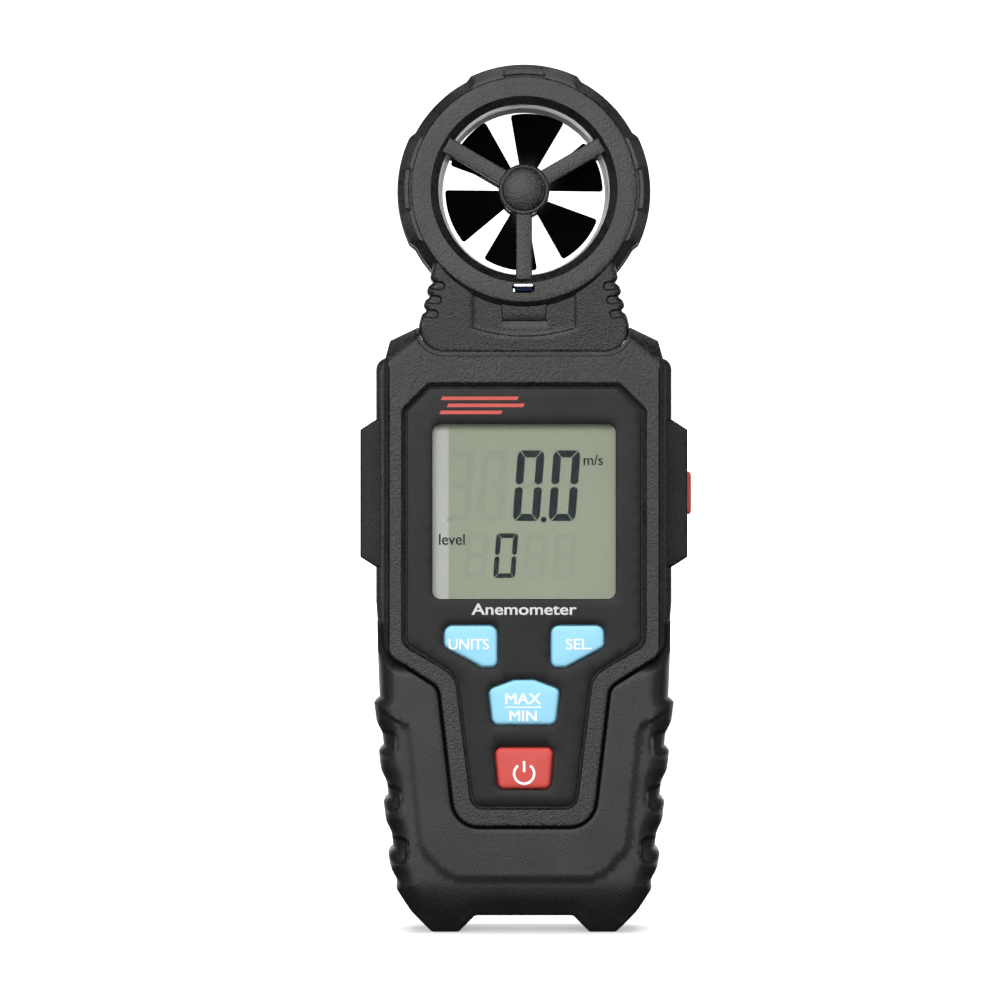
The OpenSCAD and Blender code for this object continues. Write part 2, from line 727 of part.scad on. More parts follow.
front_shell();
front_grip();
rear_shell();
rear_grip();
side_pad(-1);  // side_pad_left
side_pad(1);  // side_pad_right
front_panel();
display_window();
display_cell();
display_frame();
backlight();
contact_strip();
main_board();
board_chips();
buzzer();
board_screws();
key_switches();
side_board();
side_switch();
front_key(0, "#a9e0f5");  // key_units
front_key(1, "#a9e0f5");  // key_select
front_key(2, "#a9e0f5");  // key_maxmin
front_key(3, "#e2574d");  // key_power
side_key();
dry_cell(0);  // cell_1
dry_cell(1);  // cell_2
dry_cell(2);  // cell_3
contact_springs();
contact_plates();
battery_door();
door_screw();
case_screws();
head_front();
head_rear();
front_bezel();
hub_cap();
rear_bezel();
duct_liner();
head_screws();
impeller();
impeller_shaft();
pickup_magnet();
bush(y_hub0 - 3, y_hub0 - 0.5);  // front_bearing
bush(y_hub1 + 0.5, y_hub1 + 3);  // rear_bearing
hall_sensor();
sensor_board();
air_sensor();
head_cable();
cable_plug();
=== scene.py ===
import math

import bpy
import numpy as np
from mathutils import Matrix, Vector
from mathutils.geometry import delaunay_2d_cdt
from mathutils.kdtree import KDTree


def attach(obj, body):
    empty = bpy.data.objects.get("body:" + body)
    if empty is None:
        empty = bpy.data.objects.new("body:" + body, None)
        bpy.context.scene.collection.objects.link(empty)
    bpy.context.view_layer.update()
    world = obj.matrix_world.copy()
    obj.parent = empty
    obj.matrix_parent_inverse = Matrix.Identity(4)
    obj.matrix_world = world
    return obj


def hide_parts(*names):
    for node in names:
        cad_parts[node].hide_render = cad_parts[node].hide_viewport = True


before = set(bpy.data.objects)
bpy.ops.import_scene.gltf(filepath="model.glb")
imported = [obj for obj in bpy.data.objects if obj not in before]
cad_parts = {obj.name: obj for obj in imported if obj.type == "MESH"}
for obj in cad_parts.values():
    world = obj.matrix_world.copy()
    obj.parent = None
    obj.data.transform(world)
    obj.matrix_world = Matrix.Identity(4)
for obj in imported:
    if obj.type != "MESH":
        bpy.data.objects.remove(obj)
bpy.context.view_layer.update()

# Shapes are worked out in millimetres and stored in metres.
MM = 0.001

# Levels from front to back, as in the CAD model
Y_FACE = -16.5
Y_BOOT = -15.6
Y_PANEL = -15.3
Y_FLOOR = -14.5
Y_INNER = -13.0
Y_LCD = -12.9
Y_SPLIT = -4.0
Y_BACK = 16.5
Y_BEZEL = -13.5
Y_BEZEL_BACK = -10.5
Y_NECK = -12.6
Y_HEAD_SPLIT = -3.6
Y_HEAD_BACK = 6.5

# The vane head: its axis, its radii and the directions of its parts in degrees
AXIS_Z = 148.3
DUCT_R = 17.1
CHAMFER_R = 18.65
FACE_R = 22.5
HEAD_R = 25.1
HUB_R = 5.1
CAP_R = 4.35
BLADE_R = 15.8
BLADE_ROUND = 0.6
BLADE_COUNT = 6
LOBES = (0, 90, 180)
SPOKES = (30, 150, 270)
HEAD_SCREWS = (35, 145, 270)
HEAD_SCREW_R = 1.85

# The body: heights, walls, gaps and roundings
WALL = 1.8
KEY_GAP = 0.3
RAIL_ROUND = 1.4
SIDE_LINE = 26.88
GROOVE = 0.5
BEVEL_DEEP = 0.85
BEVEL_WIDE = 1.05
RIB_TIPS = [45.9, 36.2, 26.1, 15.8]
RIB_DEEP = 1.1
BOOT_TOP = 62.4
REAR_BOOT_TOP = 47.3
DOOR_SCREW_Z = 70.2
PAD_MIDDLE = (2.5, 87.7)
PAD_FACE = 32.9
SIDE_KEY_MIDDLE = (2.5, 87.8)
KEY_TOP = Y_PANEL - 0.8
PRINT_TOP = KEY_TOP - 0.03

# A step in a surface lies between two lines STEP mm apart; LINE_GAP is half way between them.
STEP = 0.05
LINE_GAP = STEP / 2


# ------------------------------------------------------------------ lines

def unit(x, z):
    size = math.hypot(x, z)
    return x / size, z / size


def mirrored(right):
    """Corners of a symmetric closed outline from its right half, listed from the bottom up."""
    return right + [(-x, z, r) for x, z, r in reversed(right)]


def flipped(corners):
    return [(-x, z, r) for x, z, r in reversed(corners)]


def rounded(corners, grow=0.0, arc=7):
    """Closed line through (x, z, radius) corners, counter-clockwise, moved outwards by grow."""
    line = []
    for i, (x, z, radius) in enumerate(corners):
        px, pz, _ = corners[i - 1]
        nx, nz, _ = corners[(i + 1) % len(corners)]
        a, b = unit(x - px, z - pz), unit(nx - x, nz - z)
        turn = math.atan2(a[0] * b[1] - a[1] * b[0], a[0] * b[0] + a[1] * b[1])
        side = math.copysign(1.0, turn)
        k = grow / (1 + a[0] * b[0] + a[1] * b[1])
        x, z = x + (a[1] + b[1]) * k, z - (a[0] + b[0]) * k
        r = max(radius + grow * side, 0.03)
        cut = r * math.tan(abs(turn) / 2)
        sx, sz = x - a[0] * cut, z - a[1] * cut
        cx, cz = sx - a[1] * r * side, sz + a[0] * r * side
        for j in range(arc + 1):
            t = turn * j / arc
            dx, dz = sx - cx, sz - cz
            line.append((cx + dx * math.cos(t) - dz * math.sin(t),
                         cz + dx * math.sin(t) + dz * math.cos(t)))
    return np.array(line)


def circle(r, x, z, count):
    t = np.linspace(0, 2 * math.pi, count, endpoint=False)
    return np.stack([x + r * np.cos(t), z + r * np.sin(t)], 1)


def box_corners(x, z, half_x, half_z, radius):
    return [(x - half_x, z - half_z, radius), (x + half_x, z - half_z, radius),
            (x + half_x, z + half_z, radius), (x - half_x, z + half_z, radius)]


def box_line(x, z, half_x, half_z, radius, grow=0.0, arc=7):
    return rounded(box_corners(x, z, half_x, half_z, radius), grow, arc)


def ring_line(r, count=120):
    """Circle around the axis of the vane head."""
    return circle(r, 0, AXIS_Z, count)


def spaced(line, step):
    """The same closed line with no two neighbours further apart than step."""
    out = []
    for p, q in zip(line, np.roll(line, -1, 0)):
        length = math.hypot(*(q - p))
        if length < 0.02:
            continue
        count = max(1, math.ceil(length / step))
        out.extend(p + (q - p) * k / count for k in range(count))
    return np.array(out)


def depth_in(points, loop):
    """Distance of each point from a closed line, positive inside it."""
    a, b = loop, np.roll(loop, -1, 0)
    ab = b - a
    size = np.maximum((ab ** 2).sum(1), 1e-12)
    rise = np.where(np.abs(ab[:, 1]) < 1e-12, 1e-12, ab[:, 1])
    found = []
    for start in range(0, len(points), 4000):
        p = points[start:start + 4000, None, :]
        t = np.clip(((p - a) * ab).sum(2) / size, 0, 1)
        gap = p - (a + ab * t[..., None])
        far = np.sqrt((gap ** 2).sum(2)).min(1)
        spans = (a[:, 1] > p[..., 1]) != (b[:, 1] > p[..., 1])
        crosses = spans & (p[..., 0] < a[:, 0] + (p[..., 1] - a[:, 1]) * ab[:, 0] / rise)
        found.append(np.where(crosses.sum(1) % 2 == 1, far, -far))
    return np.concatenate(found)


def ramp(value, low, high):
    """0 below low, 1 above high, straight in between."""
    return np.clip((value - low) / (high - low), 0, 1)


def smooth(value, low, high):
    t = ramp(value, low, high)
    return t * t * (3 - 2 * t)


def fillet(d, radius, deep=None):
    """How far a rounded edge falls away at distance d inside it."""
    deep = radius if deep is None else deep
    t = 1 - ramp(d, 0, radius)
    return deep * (1 - np.sqrt(np.maximum(1 - t * t, 0)))


def fillet_steps(radius, count=4):
    """Distances inside an edge at which its rounding turns by equal angles."""
    return [radius * (1 - math.cos(math.pi / 2 * k / count)) for k in range(1, count + 1)]


def lines(corners, distances):
    return [rounded(corners, d) for d in distances]


def inset_lines(corners, radius, count=4):
    """An outline, and the lines inside it that its rounded edge needs."""
    return [rounded(corners, -d) for d in (0, *fillet_steps(radius, count))]


def within(outer, *holes):
    """Accepts the points inside a closed line and outside all the others."""
    def keep(p):
        inside = depth_in(p, outer) > 0
        for hole in holes:
            inside &= depth_in(p, hole) < 0
        return inside
    return keep


def sunk(y, p, loop, floor, margin=-LINE_GAP):
    """The height field y, replaced by floor inside a closed line."""
    return np.where(depth_in(p, loop) > margin, floor, y)


# ------------------------------------------------------------------ solids

def relief(loops, keep, front, back, step, fine=0.45):
    """A closed solid between two height fields, over the part of the plane that keep accepts.
    The mesh follows every line in loops, so an edge of the shape is crisp."""
    points, edges = [], []
    for loop in loops:
        line = spaced(loop, fine)
        first = len(points)
        points.extend(line)
        edges += [(first + i, first + (i + 1) % len(line)) for i in range(len(line))]
    tree = KDTree(len(points))
    for i, p in enumerate(points):
        tree.insert((p[0], p[1], 0), i)
    tree.balance()
    low, high = np.min(points, 0), np.max(points, 0)
    for j, z in enumerate(np.arange(low[1] + step / 3, high[1], step * 0.866)):
        for x in np.arange(low[0] + (step / 2 if j % 2 else step / 9), high[0], step):
            if tree.find((x, z, 0))[2] > step * 0.55:
                points.append((x, z))
    made = delaunay_2d_cdt([Vector(p) for p in points], edges, [], 0, 1e-5, False)
    flat = np.array([v[:] for v in made[0]])
    tris = np.array(made[2])
    a, b, c = (flat[tris[:, k]] for k in range(3))
    area = (b[:, 0] - a[:, 0]) * (c[:, 1] - a[:, 1]) - (b[:, 1] - a[:, 1]) * (c[:, 0] - a[:, 0])
    tris[area < 0] = tris[area < 0][:, ::-1]
    tris = tris[(np.abs(area) > 1e-7) & keep((a + b + c) / 3)]
    used, tris = np.unique(tris, return_inverse=True)
    tris = tris.reshape(-1, 3)
    flat = flat[used]
    n = len(flat)
    verts = np.concatenate([np.stack([flat[:, 0], side(flat), flat[:, 1]], 1)
                            for side in (front, back)])
    faces = [tuple(t) for t in tris] + [(t[0] + n, t[2] + n, t[1] + n) for t in tris]
    directed = {(t[k], t[(k + 1) % 3]) for t in tris.tolist() for k in range(3)}
    for i, j in sorted(directed):
        if (j, i) not in directed:
            faces.append((j, i, i + n, j + n))
    return verts, [tuple(int(i) for i in f) for f in faces]


def level(y):
    return lambda p: np.full(len(p), float(y))


def lathe(profile, count=96, z=AXIS_Z, x=0.0):
    """Closed ring around a line along Y, from (radius, y) points."""
    rows = len(profile)
    verts, faces = [], []
    for i in range(count):
        t = 2 * math.pi * i / count
        verts += [(x + r * math.cos(t), y, z + r * math.sin(t)) for r, y in profile]
    for i in range(count):
        for j in range(rows):
            a, b = i * rows, ((i + 1) % count) * rows
            k = (j + 1) % rows
            faces.append((a + j, b + j, b + k, a + k))
    return np.array(verts), faces


def strip(line, width, y, thick):
    """A flat open ribbon along a line in the front plane, with square ends."""
    line = np.array(line, float)
    ahead = np.gradient(line, axis=0)
    side = np.stack([-ahead[:, 1], ahead[:, 0]], 1) / np.linalg.norm(ahead, axis=1)[:, None]
    left, right = line + side * width / 2, line - side * width / 2
    loop = np.concatenate([left, right[::-1]])
    return plate(loop, y, thick)


def plate(loop, y, thick):
    """A thin solid with the given closed outline."""
    return relief([loop], within(loop), level(y), level(y + thick), 2.0, 2.0)


def moved(part, matrix):
    verts, faces = part
    turned = verts @ np.array(matrix.to_3x3()).T + np.array(matrix.translation)
    return turned, faces


def in_scene(name, data):
    obj = bpy.data.objects.new(name, data)
    bpy.context.scene.collection.objects.link(obj)
    return obj


def piece(name, parts, material, body="root", replaces=(), sharp=32):
    """One object from solids; edges that turn by more than sharp degrees stay crisp."""
    verts, faces = [], []
    for part_verts, part_faces in parts:
        first = sum(len(v) for v in verts)
        verts.append(part_verts)
        faces += [tuple(first + i for i in f) for f in part_faces]
    mesh = bpy.data.meshes.new(name)
    mesh.from_pydata((np.concatenate(verts) * MM).tolist(), [], faces)
    mesh.validate()
    mesh.shade_smooth()
    mesh.set_sharp_from_angle(angle=math.radians(sharp))
    mesh.materials.append(material)
    obj = in_scene(name, mesh)
    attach(obj, body)
    if replaces:
        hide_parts(*replaces)


# ------------------------------------------------------------------ materials

class Look:
    """A Principled material whose colour, roughness and bump vary with place on the object."""

    def __init__(self, name, roughness, **sockets):
        self.material = bpy.data.materials.new(name)
        self.material.use_nodes = True
        self.tree = self.material.node_tree
        self.shader = self.tree.nodes["Principled BSDF"]
        self.shader.inputs["Roughness"].default_value = roughness
        for key, value in sockets.items():
            self.shader.inputs[key.replace("_", " ")].default_value = value
        self.place = self.node("ShaderNodeTexCoord").outputs["Object"]

    def node(self, kind, inputs=(), **settings):
        made = self.tree.nodes.new(kind)
        for key, value in settings.items():
            setattr(made, key, value)
        for key, value in dict(inputs).items():
            made.inputs[key].default_value = value
        return made

    def link(self, source, target):
        self.tree.links.new(source, target)

    def noise(self, size_mm, detail=2.0, stretch=None):
        """Noise whose lumps are about size_mm across, stretched along an axis if asked."""
        made = self.node("ShaderNodeTexNoise", {"Scale": 1 / (size_mm * MM), "Detail": detail})
        place = self.place
        if stretch:
            mapping = self.node("ShaderNodeMapping", {"Scale": stretch})
            self.link(place, mapping.inputs["Vector"])
            place = mapping.outputs["Vector"]
        self.link(place, made.inputs["Vector"])
        return made.outputs["Fac"]

    def blend(self, a, b, share):
        """(1 - share) of a and share of b."""
        made = self.node("ShaderNodeMath", {1: share}, operation="MULTIPLY_ADD")
        keep = self.node("ShaderNodeMath", {1: 1 - share}, operation="MULTIPLY")
        self.link(a, keep.inputs[0])
        self.link(b, made.inputs[0])
        self.link(keep.outputs[0], made.inputs[2])
        return made.outputs[0]

    def colours(self, value, dark, light, low=0.35, high=0.65):
        made = self.node("ShaderNodeValToRGB")
        for end, place, colour in zip(made.color_ramp.elements, (low, high), (dark, light)):
            end.position = place
            end.color = (*colour, 1)
        self.link(value, made.inputs["Fac"])
        self.link(made.outputs["Color"], self.shader.inputs["Base Color"])

    def region(self, colour, axis, start, end, other):
        """The colour turns into another one from start to end along an axis, in mm."""
        parts = self.node("ShaderNodeSeparateXYZ")
        self.link(self.place, parts.inputs[0])
        limits = {"From Min": start * MM, "From Max": end * MM}
        share = self.node("ShaderNodeMapRange", limits, interpolation_type="SMOOTHSTEP")
        self.link(parts.outputs[axis], share.inputs["Value"])
        mix = self.node("ShaderNodeMix", {7: (*other, 1)}, data_type="RGBA")
        self.link(share.outputs["Result"], mix.inputs[0])
        self.link(colour, mix.inputs[6])
        return mix.outputs[2]

    def rough(self, value, low, high):
        limits = {"From Min": 0.3, "From Max": 0.7, "To Min": low, "To Max": high}
        made = self.node("ShaderNodeMapRange", limits)
        self.link(value, made.inputs["Value"])
        self.link(made.outputs["Result"], self.shader.inputs["Roughness"])

    def bump(self, value, height_mm):
        made = self.node("ShaderNodeBump", {"Distance": height_mm * MM})
        self.link(value, made.inputs["Height"])
        self.link(made.outputs["Normal"], self.shader.inputs["Normal"])


def tint(colour, share):
    return tuple(min(1.0, c * (1 + share)) for c in colour)


def moulded(name, colour, roughness, grain, height, mottle, specular=0.5, spread=0.06):
    """Moulded plastic: a spark-eroded grain, faint cloudiness and uneven sheen."""
    look = Look(name, roughness, Specular_IOR_Level=specular)
    fine = look.noise(grain, 2.0)
    cloud = look.noise(9.0, 3.0)
    look.colours(look.blend(fine, cloud, 0.25), tint(colour, -mottle), tint(colour, mottle),
                 0.4, 0.6)
    look.rough(look.blend(fine, cloud, 0.4), roughness - spread, roughness + spread)
    look.bump(look.blend(fine, look.noise(grain * 3.1, 1.0), 0.12), height)
    return look.material


def metal(name, colour, roughness, brush=(1, 1, 1)):
    """Bare metal with fine brushing, stretched along one axis by brush."""
    look = Look(name, roughness, Metallic=1.0)
    fine = look.noise(0.5, 3.0, stretch=brush)
    cloud = look.noise(3.0, 3.0)
    look.colours(look.blend(fine, cloud, 0.5), tint(colour, -0.18), tint(colour, 0.1))
    look.rough(fine, roughness - 0.08, roughness + 0.12)
    look.bump(fine, 0.01)
    return look.material


def printed(name, colour, roughness=0.5, specular=0.4):
    """Screen print: thin ink with a slightly uneven cover."""
    look = Look(name, roughness, Specular_IOR_Level=specular)
    fine = look.noise(0.12, 2.0)
    look.colours(look.blend(fine, look.noise(1.5, 2.0), 0.5), tint(colour, -0.08),
                 tint(colour, 0.05))
    look.rough(fine, roughness - 0.06, roughness + 0.08)
    look.bump(fine, 0.006)
    return look.material


def circuit_board(name):
    """Green solder mask over faint copper runs."""
    look = Look(name, 0.35, Specular_IOR_Level=0.5)
    runs = look.node("ShaderNodeTexWave", {"Scale": 260.0, "Distortion": 2.0},
                     wave_type="BANDS", bands_direction="DIAGONAL")
    look.link(look.place, runs.inputs["Vector"])
    mix = look.blend(runs.outputs["Fac"], look.noise(4.0, 3.0), 0.6)
    look.colours(mix, (0.008, 0.07, 0.022), (0.02, 0.15, 0.05))
    look.rough(mix, 0.25, 0.45)
    look.bump(runs.outputs["Fac"], 0.02)
    return look.material


def lcd_glass(name):
    """Reflective liquid crystal: grey-green, with a painted reflection that makes its left edge
    paler and a painted shadow of the window's frame that darkens its top.
    """
    look = Look(name, 0.4, Specular_IOR_Level=0.05)
    cloud = look.blend(look.noise(0.2, 1.0), look.noise(14.0, 2.0), 0.7)
    look.colours(cloud, (0.375, 0.418, 0.307), (0.397, 0.443, 0.326))
    base = look.shader.inputs["Base Color"].links[0].from_socket
    # Painted reflection: the left edge of the crystal turns paler, standing in for glare off the
    # side of its recess.
    base = look.region(base, "X", -14.7, -15.4, (0.6, 0.63, 0.57))
    # Painted shadow: the top of the crystal turns darker, standing in for the shadow of the
    # window's frame.
    base = look.region(base, "Z", 99.9, 101.6, (0.195, 0.225, 0.155))
    look.link(base, look.shader.inputs["Base Color"])
    look.rough(look.noise(3.0), 0.34, 0.46)
    look.bump(look.noise(0.15, 1.0), 0.003)
    return look.material


def clear_pane(name):
    """A thin clear window with faint smears."""
    look = Look(name, 0.06, Alpha=0.1, Specular_IOR_Level=0.25)
    look.colours(look.noise(5.0, 2.0), (0.02, 0.022, 0.02), (0.03, 0.033, 0.03))
    look.rough(look.noise(2.0, 3.0), 0.04, 0.1)
    look.bump(look.noise(6.0, 1.0), 0.004)
    look.material.surface_render_method = "BLENDED"
    return look.material


SHELL = moulded("shell_plastic", (0.012, 0.012, 0.0117), 0.42, 0.34, 0.15, 0.9, 0.4, 0.12)
BOOT = moulded("boot_rubber", (0.0075, 0.0075, 0.0077), 0.5, 0.34, 0.05, 0.4, 0.43, 0.08)
PAD = moulded("pad_plastic", (0.0095, 0.0095, 0.0097), 0.5, 0.4, 0.12, 0.8, 0.23, 0.12)
HEAD = moulded("head_plastic", (0.0135, 0.0134, 0.0122), 0.42, 0.36, 0.12, 0.9, 0.42, 0.12)
PANEL = moulded("panel_plastic", (0.0052, 0.0052, 0.0054), 0.36, 0.5, 0.006, 0.1, 0.15)
DUCT = moulded("duct_plastic", (0.6, 0.6, 0.59), 0.45, 0.8, 0.004, 0.08, 0.4)
BLADE = moulded("blade_plastic", (0.0009, 0.0009, 0.0006), 0.35, 0.5, 0.004, 0.2, 0.04)
BLUE = moulded("key_blue_rubber", (0.305, 0.665, 0.86), 0.5, 0.25, 0.008, 0.03, 0.3)
RED = moulded("key_red_rubber", (0.6, 0.07, 0.058), 0.5, 0.25, 0.008, 0.05, 0.3)
SIDE_RED = moulded("side_key_rubber", (0.6, 0.07, 0.055), 0.5, 0.25, 0.008, 0.06, 0.3)
WHITE = printed("white_print", (0.9, 0.92, 0.92))
RED_PRINT = printed("red_print", (0.6, 0.075, 0.055))
PALE_PRINT = printed("pale_print", (0.62, 0.63, 0.63))
DIGIT = printed("display_segment", (0.009, 0.02, 0.024), 0.4, 0.03)
GHOST = printed("display_segment_off", (0.368, 0.405, 0.312), 0.4, 0.05)
SOCKET_RIM = metal("sensor_rim_metal", (0.75, 0.76, 0.78), 0.3)


# ------------------------------------------------------------------ outlines

PANEL_CORNERS = mirrored([(10.1, 25.2, 2.2), (13.3, 51.4, 5.5), (23.4, 57.7, 2.2),
                          (23.4, 104.0, 0.8), (18.7, 108.7, 0.8)])
FRONT_CORNERS = mirrored([(13.6, 21.4, 5.2), (16.85, 49.15, 3.4), (27.9, 56.1, 5.5),
                          (27.9, 113.6, 4.0), (26.75, 118.1, 0.25), (21.05, 120.85, 0.12),
                          (20.52, 115.86, 5.0)])
FOOT = [(9.8, 3.4, 1.2), (13.1, 0.0, 0.5), (18.4, 0.0, 1.2)]
BOOT_CORNERS = mirrored(FOOT + [(22.6, 4.3, 6.0), (25.5, 8.6, 6.0), (27.0, 14.0, 10.0),
                                (30.0, 46.0, 3.0), (29.6, 62.3, 0.3)])
PLATEAU_CORNERS = mirrored([(15.0, 11.15, 7.0), (20.4, 17.2, 6.0), (22.75, 41.1, 0.3),
                            (34.0, 48.2, 0.3), (34.0, 70.0, 0.3)])
REAR_CORNERS = mirrored([(18.5, 7.2, 1.0), (24.2, 13.0, 3.0), (27.2, 40.0, 2.0),
                         (27.9, 46.8, 0.3), (28.3, 47.4, 0.3), (29.75, 66.0, 9.0),
                         (29.75, 115.2, 2.4), (26.8, 114.9, 0.3), (26.6, 117.0, 0.4),
                         (21.4, 117.0, 0.2)])
CORE_CORNERS = mirrored([(18.5, 7.2, 1.0), (24.0, 13.0, 3.0), (26.9, 42.0, 2.0),
                         (27.9, 48.0, 2.0), (27.9, 113.6, 2.0), (26.6, 117.0, 0.5),
                         (21.4, 117.0, 0.2)])
SENSOR_SLOT = box_corners(-0.15, 128.6, 2.2, 0.85, 0.8)
NECK_TAB = mirrored([(4.15, 122.35, 0.3), (4.75, 131.0, 0.2)])
NECK_SEAT = box_corners(0, 140, 21.05, 24.15, 5.05)
UNITS_KEY = [(-8.3, 53.15, 1.4), (-5.4, 53.15, 1.2), (-5.4, 61.3, 1.6),
             (-15.85, 61.3, 1.6), (-15.85, 57.2, 1.2)]
MAXMIN_KEY = mirrored([(6.2, 41.7, 1.3), (7.0, 48.6, 1.2), (2.0, 50.45, 2.0)])
POWER_KEY = mirrored([(5.05, 28.95, 1.2), (5.8, 37.0, 1.2)])
# Each front key: its outline, the middle of its post, and its material, slot and body
KEYS = {"key_units": (UNITS_KEY, (-10.4, 57.4), BLUE, "key_blue", "units_key"),
        "key_select": (flipped(UNITS_KEY), (10.4, 57.4), BLUE, "key_blue", "select_key"),
        "key_maxmin": (MAXMIN_KEY, (0.0, 45.8), BLUE, "key_blue", "maxmin_key"),
        "key_power": (POWER_KEY, (0.0, 32.7), RED, "key_red", "power_key")}
WINDOW = box_corners(0, 84.1, 18.2, 17.4, 1.6)
KEY_HOLES = [rounded(corners, KEY_GAP) for corners, *_ in KEYS.values()]
# Hollows between the ribs: where each one starts across, and its height
POCKETS = [(25.3, 37.6), (24.3, 26.6), (22.9, 16.4)]
POCKET_HALF = 2.9
POCKET_ROUND = 1.9


def rib_depth(z):
    """How far the side wall lies inside the line over the rib tips, at height z."""
    z = np.asarray(z, float)
    lost = np.ones_like(z)
    for tip in RIB_TIPS:
        below = tip - z
        rise = smooth(below, -1.1, 0.0)
        tooth = rise * (1 - 0.15 * ramp(below, 0, 3.4)) * (1 - smooth(below, 3.2, 6.6))
        lost = np.minimum(lost, 1 - tooth)
    lost = np.where(z < RIB_TIPS[-1] - 3, lost * smooth(z, 8.5, 11.5), lost)
    lost = np.where(z > 46, lost * (1 - 0.9 * ramp(z, 47, BOOT_TOP)), lost)
    return RIB_DEEP * lost


def ribbed(line):
    """A boot outline with the spaces between the ribs cut into its sides."""
    line = spaced(line, 0.35)
    x, z = line[:, 0], line[:, 1]
    cut = rib_depth(z) * (np.abs(x) > 19) * (z < BOOT_TOP)
    return np.stack([x - np.sign(x) * cut, z], 1)


def ribbed_insets(radius, count):
    return [ribbed(rounded(BOOT_CORNERS, -d)) for d in fillet_steps(radius, count)]


# ------------------------------------------------------------------ body

def body_falloff(z):
    """How far the front of the body curves back towards its bottom edge."""
    return 4.8 * ramp(11.2 - z, 0, 11.2) ** 2.1


def core_wall(p):
    """The inside of the case, where its front half is hollow."""
    return depth_in(p, rounded(CORE_CORNERS, -WALL - LINE_GAP)) > 0


def core_lines():
    return [rounded(CORE_CORNERS, -WALL), rounded(CORE_CORNERS, -WALL - STEP)]


def front_shell():
    edge = rounded(FRONT_CORNERS)
    seat = rounded(NECK_SEAT)
    panel = rounded(PANEL_CORNERS)
    window = rounded(WINDOW, 0.25)
    top_a, top_b = np.array([26.75, 118.1]), np.array([21.05, 120.85])
    along = (top_b - top_a) / np.linalg.norm(top_b - top_a)

    def side_slope(x, z):
        slope = Y_FACE + 0.9 * ramp(x, SIDE_LINE + 0.1, 27.9) * ramp(z, 54, 58)
        line = 0.3 * ramp(0.15 - np.abs(x - SIDE_LINE), 0, 0.15)
        return slope, line * ramp(z, 55, 57) * ramp(113.5 - z, 0, 2)

    def shoulder(x, z):
        below_top = (x - top_a[0]) * along[1] - (z - top_a[1]) * along[0]
        width = 2.2 + 2.4 * ramp(x, 21.0, 26.7)
        return np.where(x > 19.5, 3.2 * ramp(1 - np.abs(below_top) / width, 0, 1) ** 2, 0)

    def panel_bevel(to_panel, z):
        """The bevel around the panel, which is narrower and shallower beside the keys."""
        lower = ramp(60 - z, 0, 6)
        wide = BEVEL_WIDE - 0.5 * lower
        deep = BEVEL_DEEP * (1 - 0.5 * lower) * ramp(wide - to_panel, 0, wide - 0.2)
        return deep, 0.06 * smooth(wide + 0.15 - to_panel, 0, 0.3)

    def front(p):
        x, z = np.abs(p[:, 0]), p[:, 1]
        y = Y_FACE + fillet(depth_in(p, edge), 0.35)
        slope, line = side_slope(x, z)
        y = np.maximum(y, slope) + line
        y = np.maximum(y, Y_FACE + 0.7 * ramp(0.95 + depth_in(p, seat), 0, 0.2))
        to_panel = -depth_in(p, panel)
        y += shoulder(x, z)
        for part in panel_bevel(to_panel, z):
            y += part
        return np.where(to_panel < 0.2, Y_FLOOR, y)

    def back(p):
        return np.where(core_wall(p) & (depth_in(p, edge) > 1.225), Y_INNER, Y_SPLIT)

    loops = [edge, window, *KEY_HOLES, *core_lines()]
    loops += [rounded(FRONT_CORNERS, -d) for d in fillet_steps(0.35) + [0.9, 1.2, 1.25]]
    bevel_lines = (0.19, 0.21, 0.4, 0.55, 0.7, 0.85, 1.05, 1.2, 1.35)
    loops += lines(PANEL_CORNERS, bevel_lines)
    for d in (-0.15, 0.0, 0.15):
        line = box_corners(30.0, 86.0, 30.0 - SIDE_LINE - d, 31.0, 0.02)
        loops += [rounded(line, arc=1), rounded(flipped(line), arc=1)]
    loops += lines(NECK_SEAT, (0.75, 0.95))
    for w in (0.15, 0.3, 0.45, 0.6, 0.75, 1.0):
        lower = [(26.9, 118.1 - 4.6 * w, 0.1), (20.2, 121.2 - 2.2 * w, 0.1),
                 (20.2, 122.0, 0.1), (30, 122.0, 0.1)]
        loops += [rounded(lower, arc=1), rounded(flipped(lower), arc=1)]
    return relief(loops, within(edge, *KEY_HOLES, window), front, back, 1.1)


def pocket_line(pocket, grow=0.0):
    x, z = pocket
    return box_line(x + POCKET_HALF, z, POCKET_HALF, POCKET_HALF, POCKET_ROUND, grow)


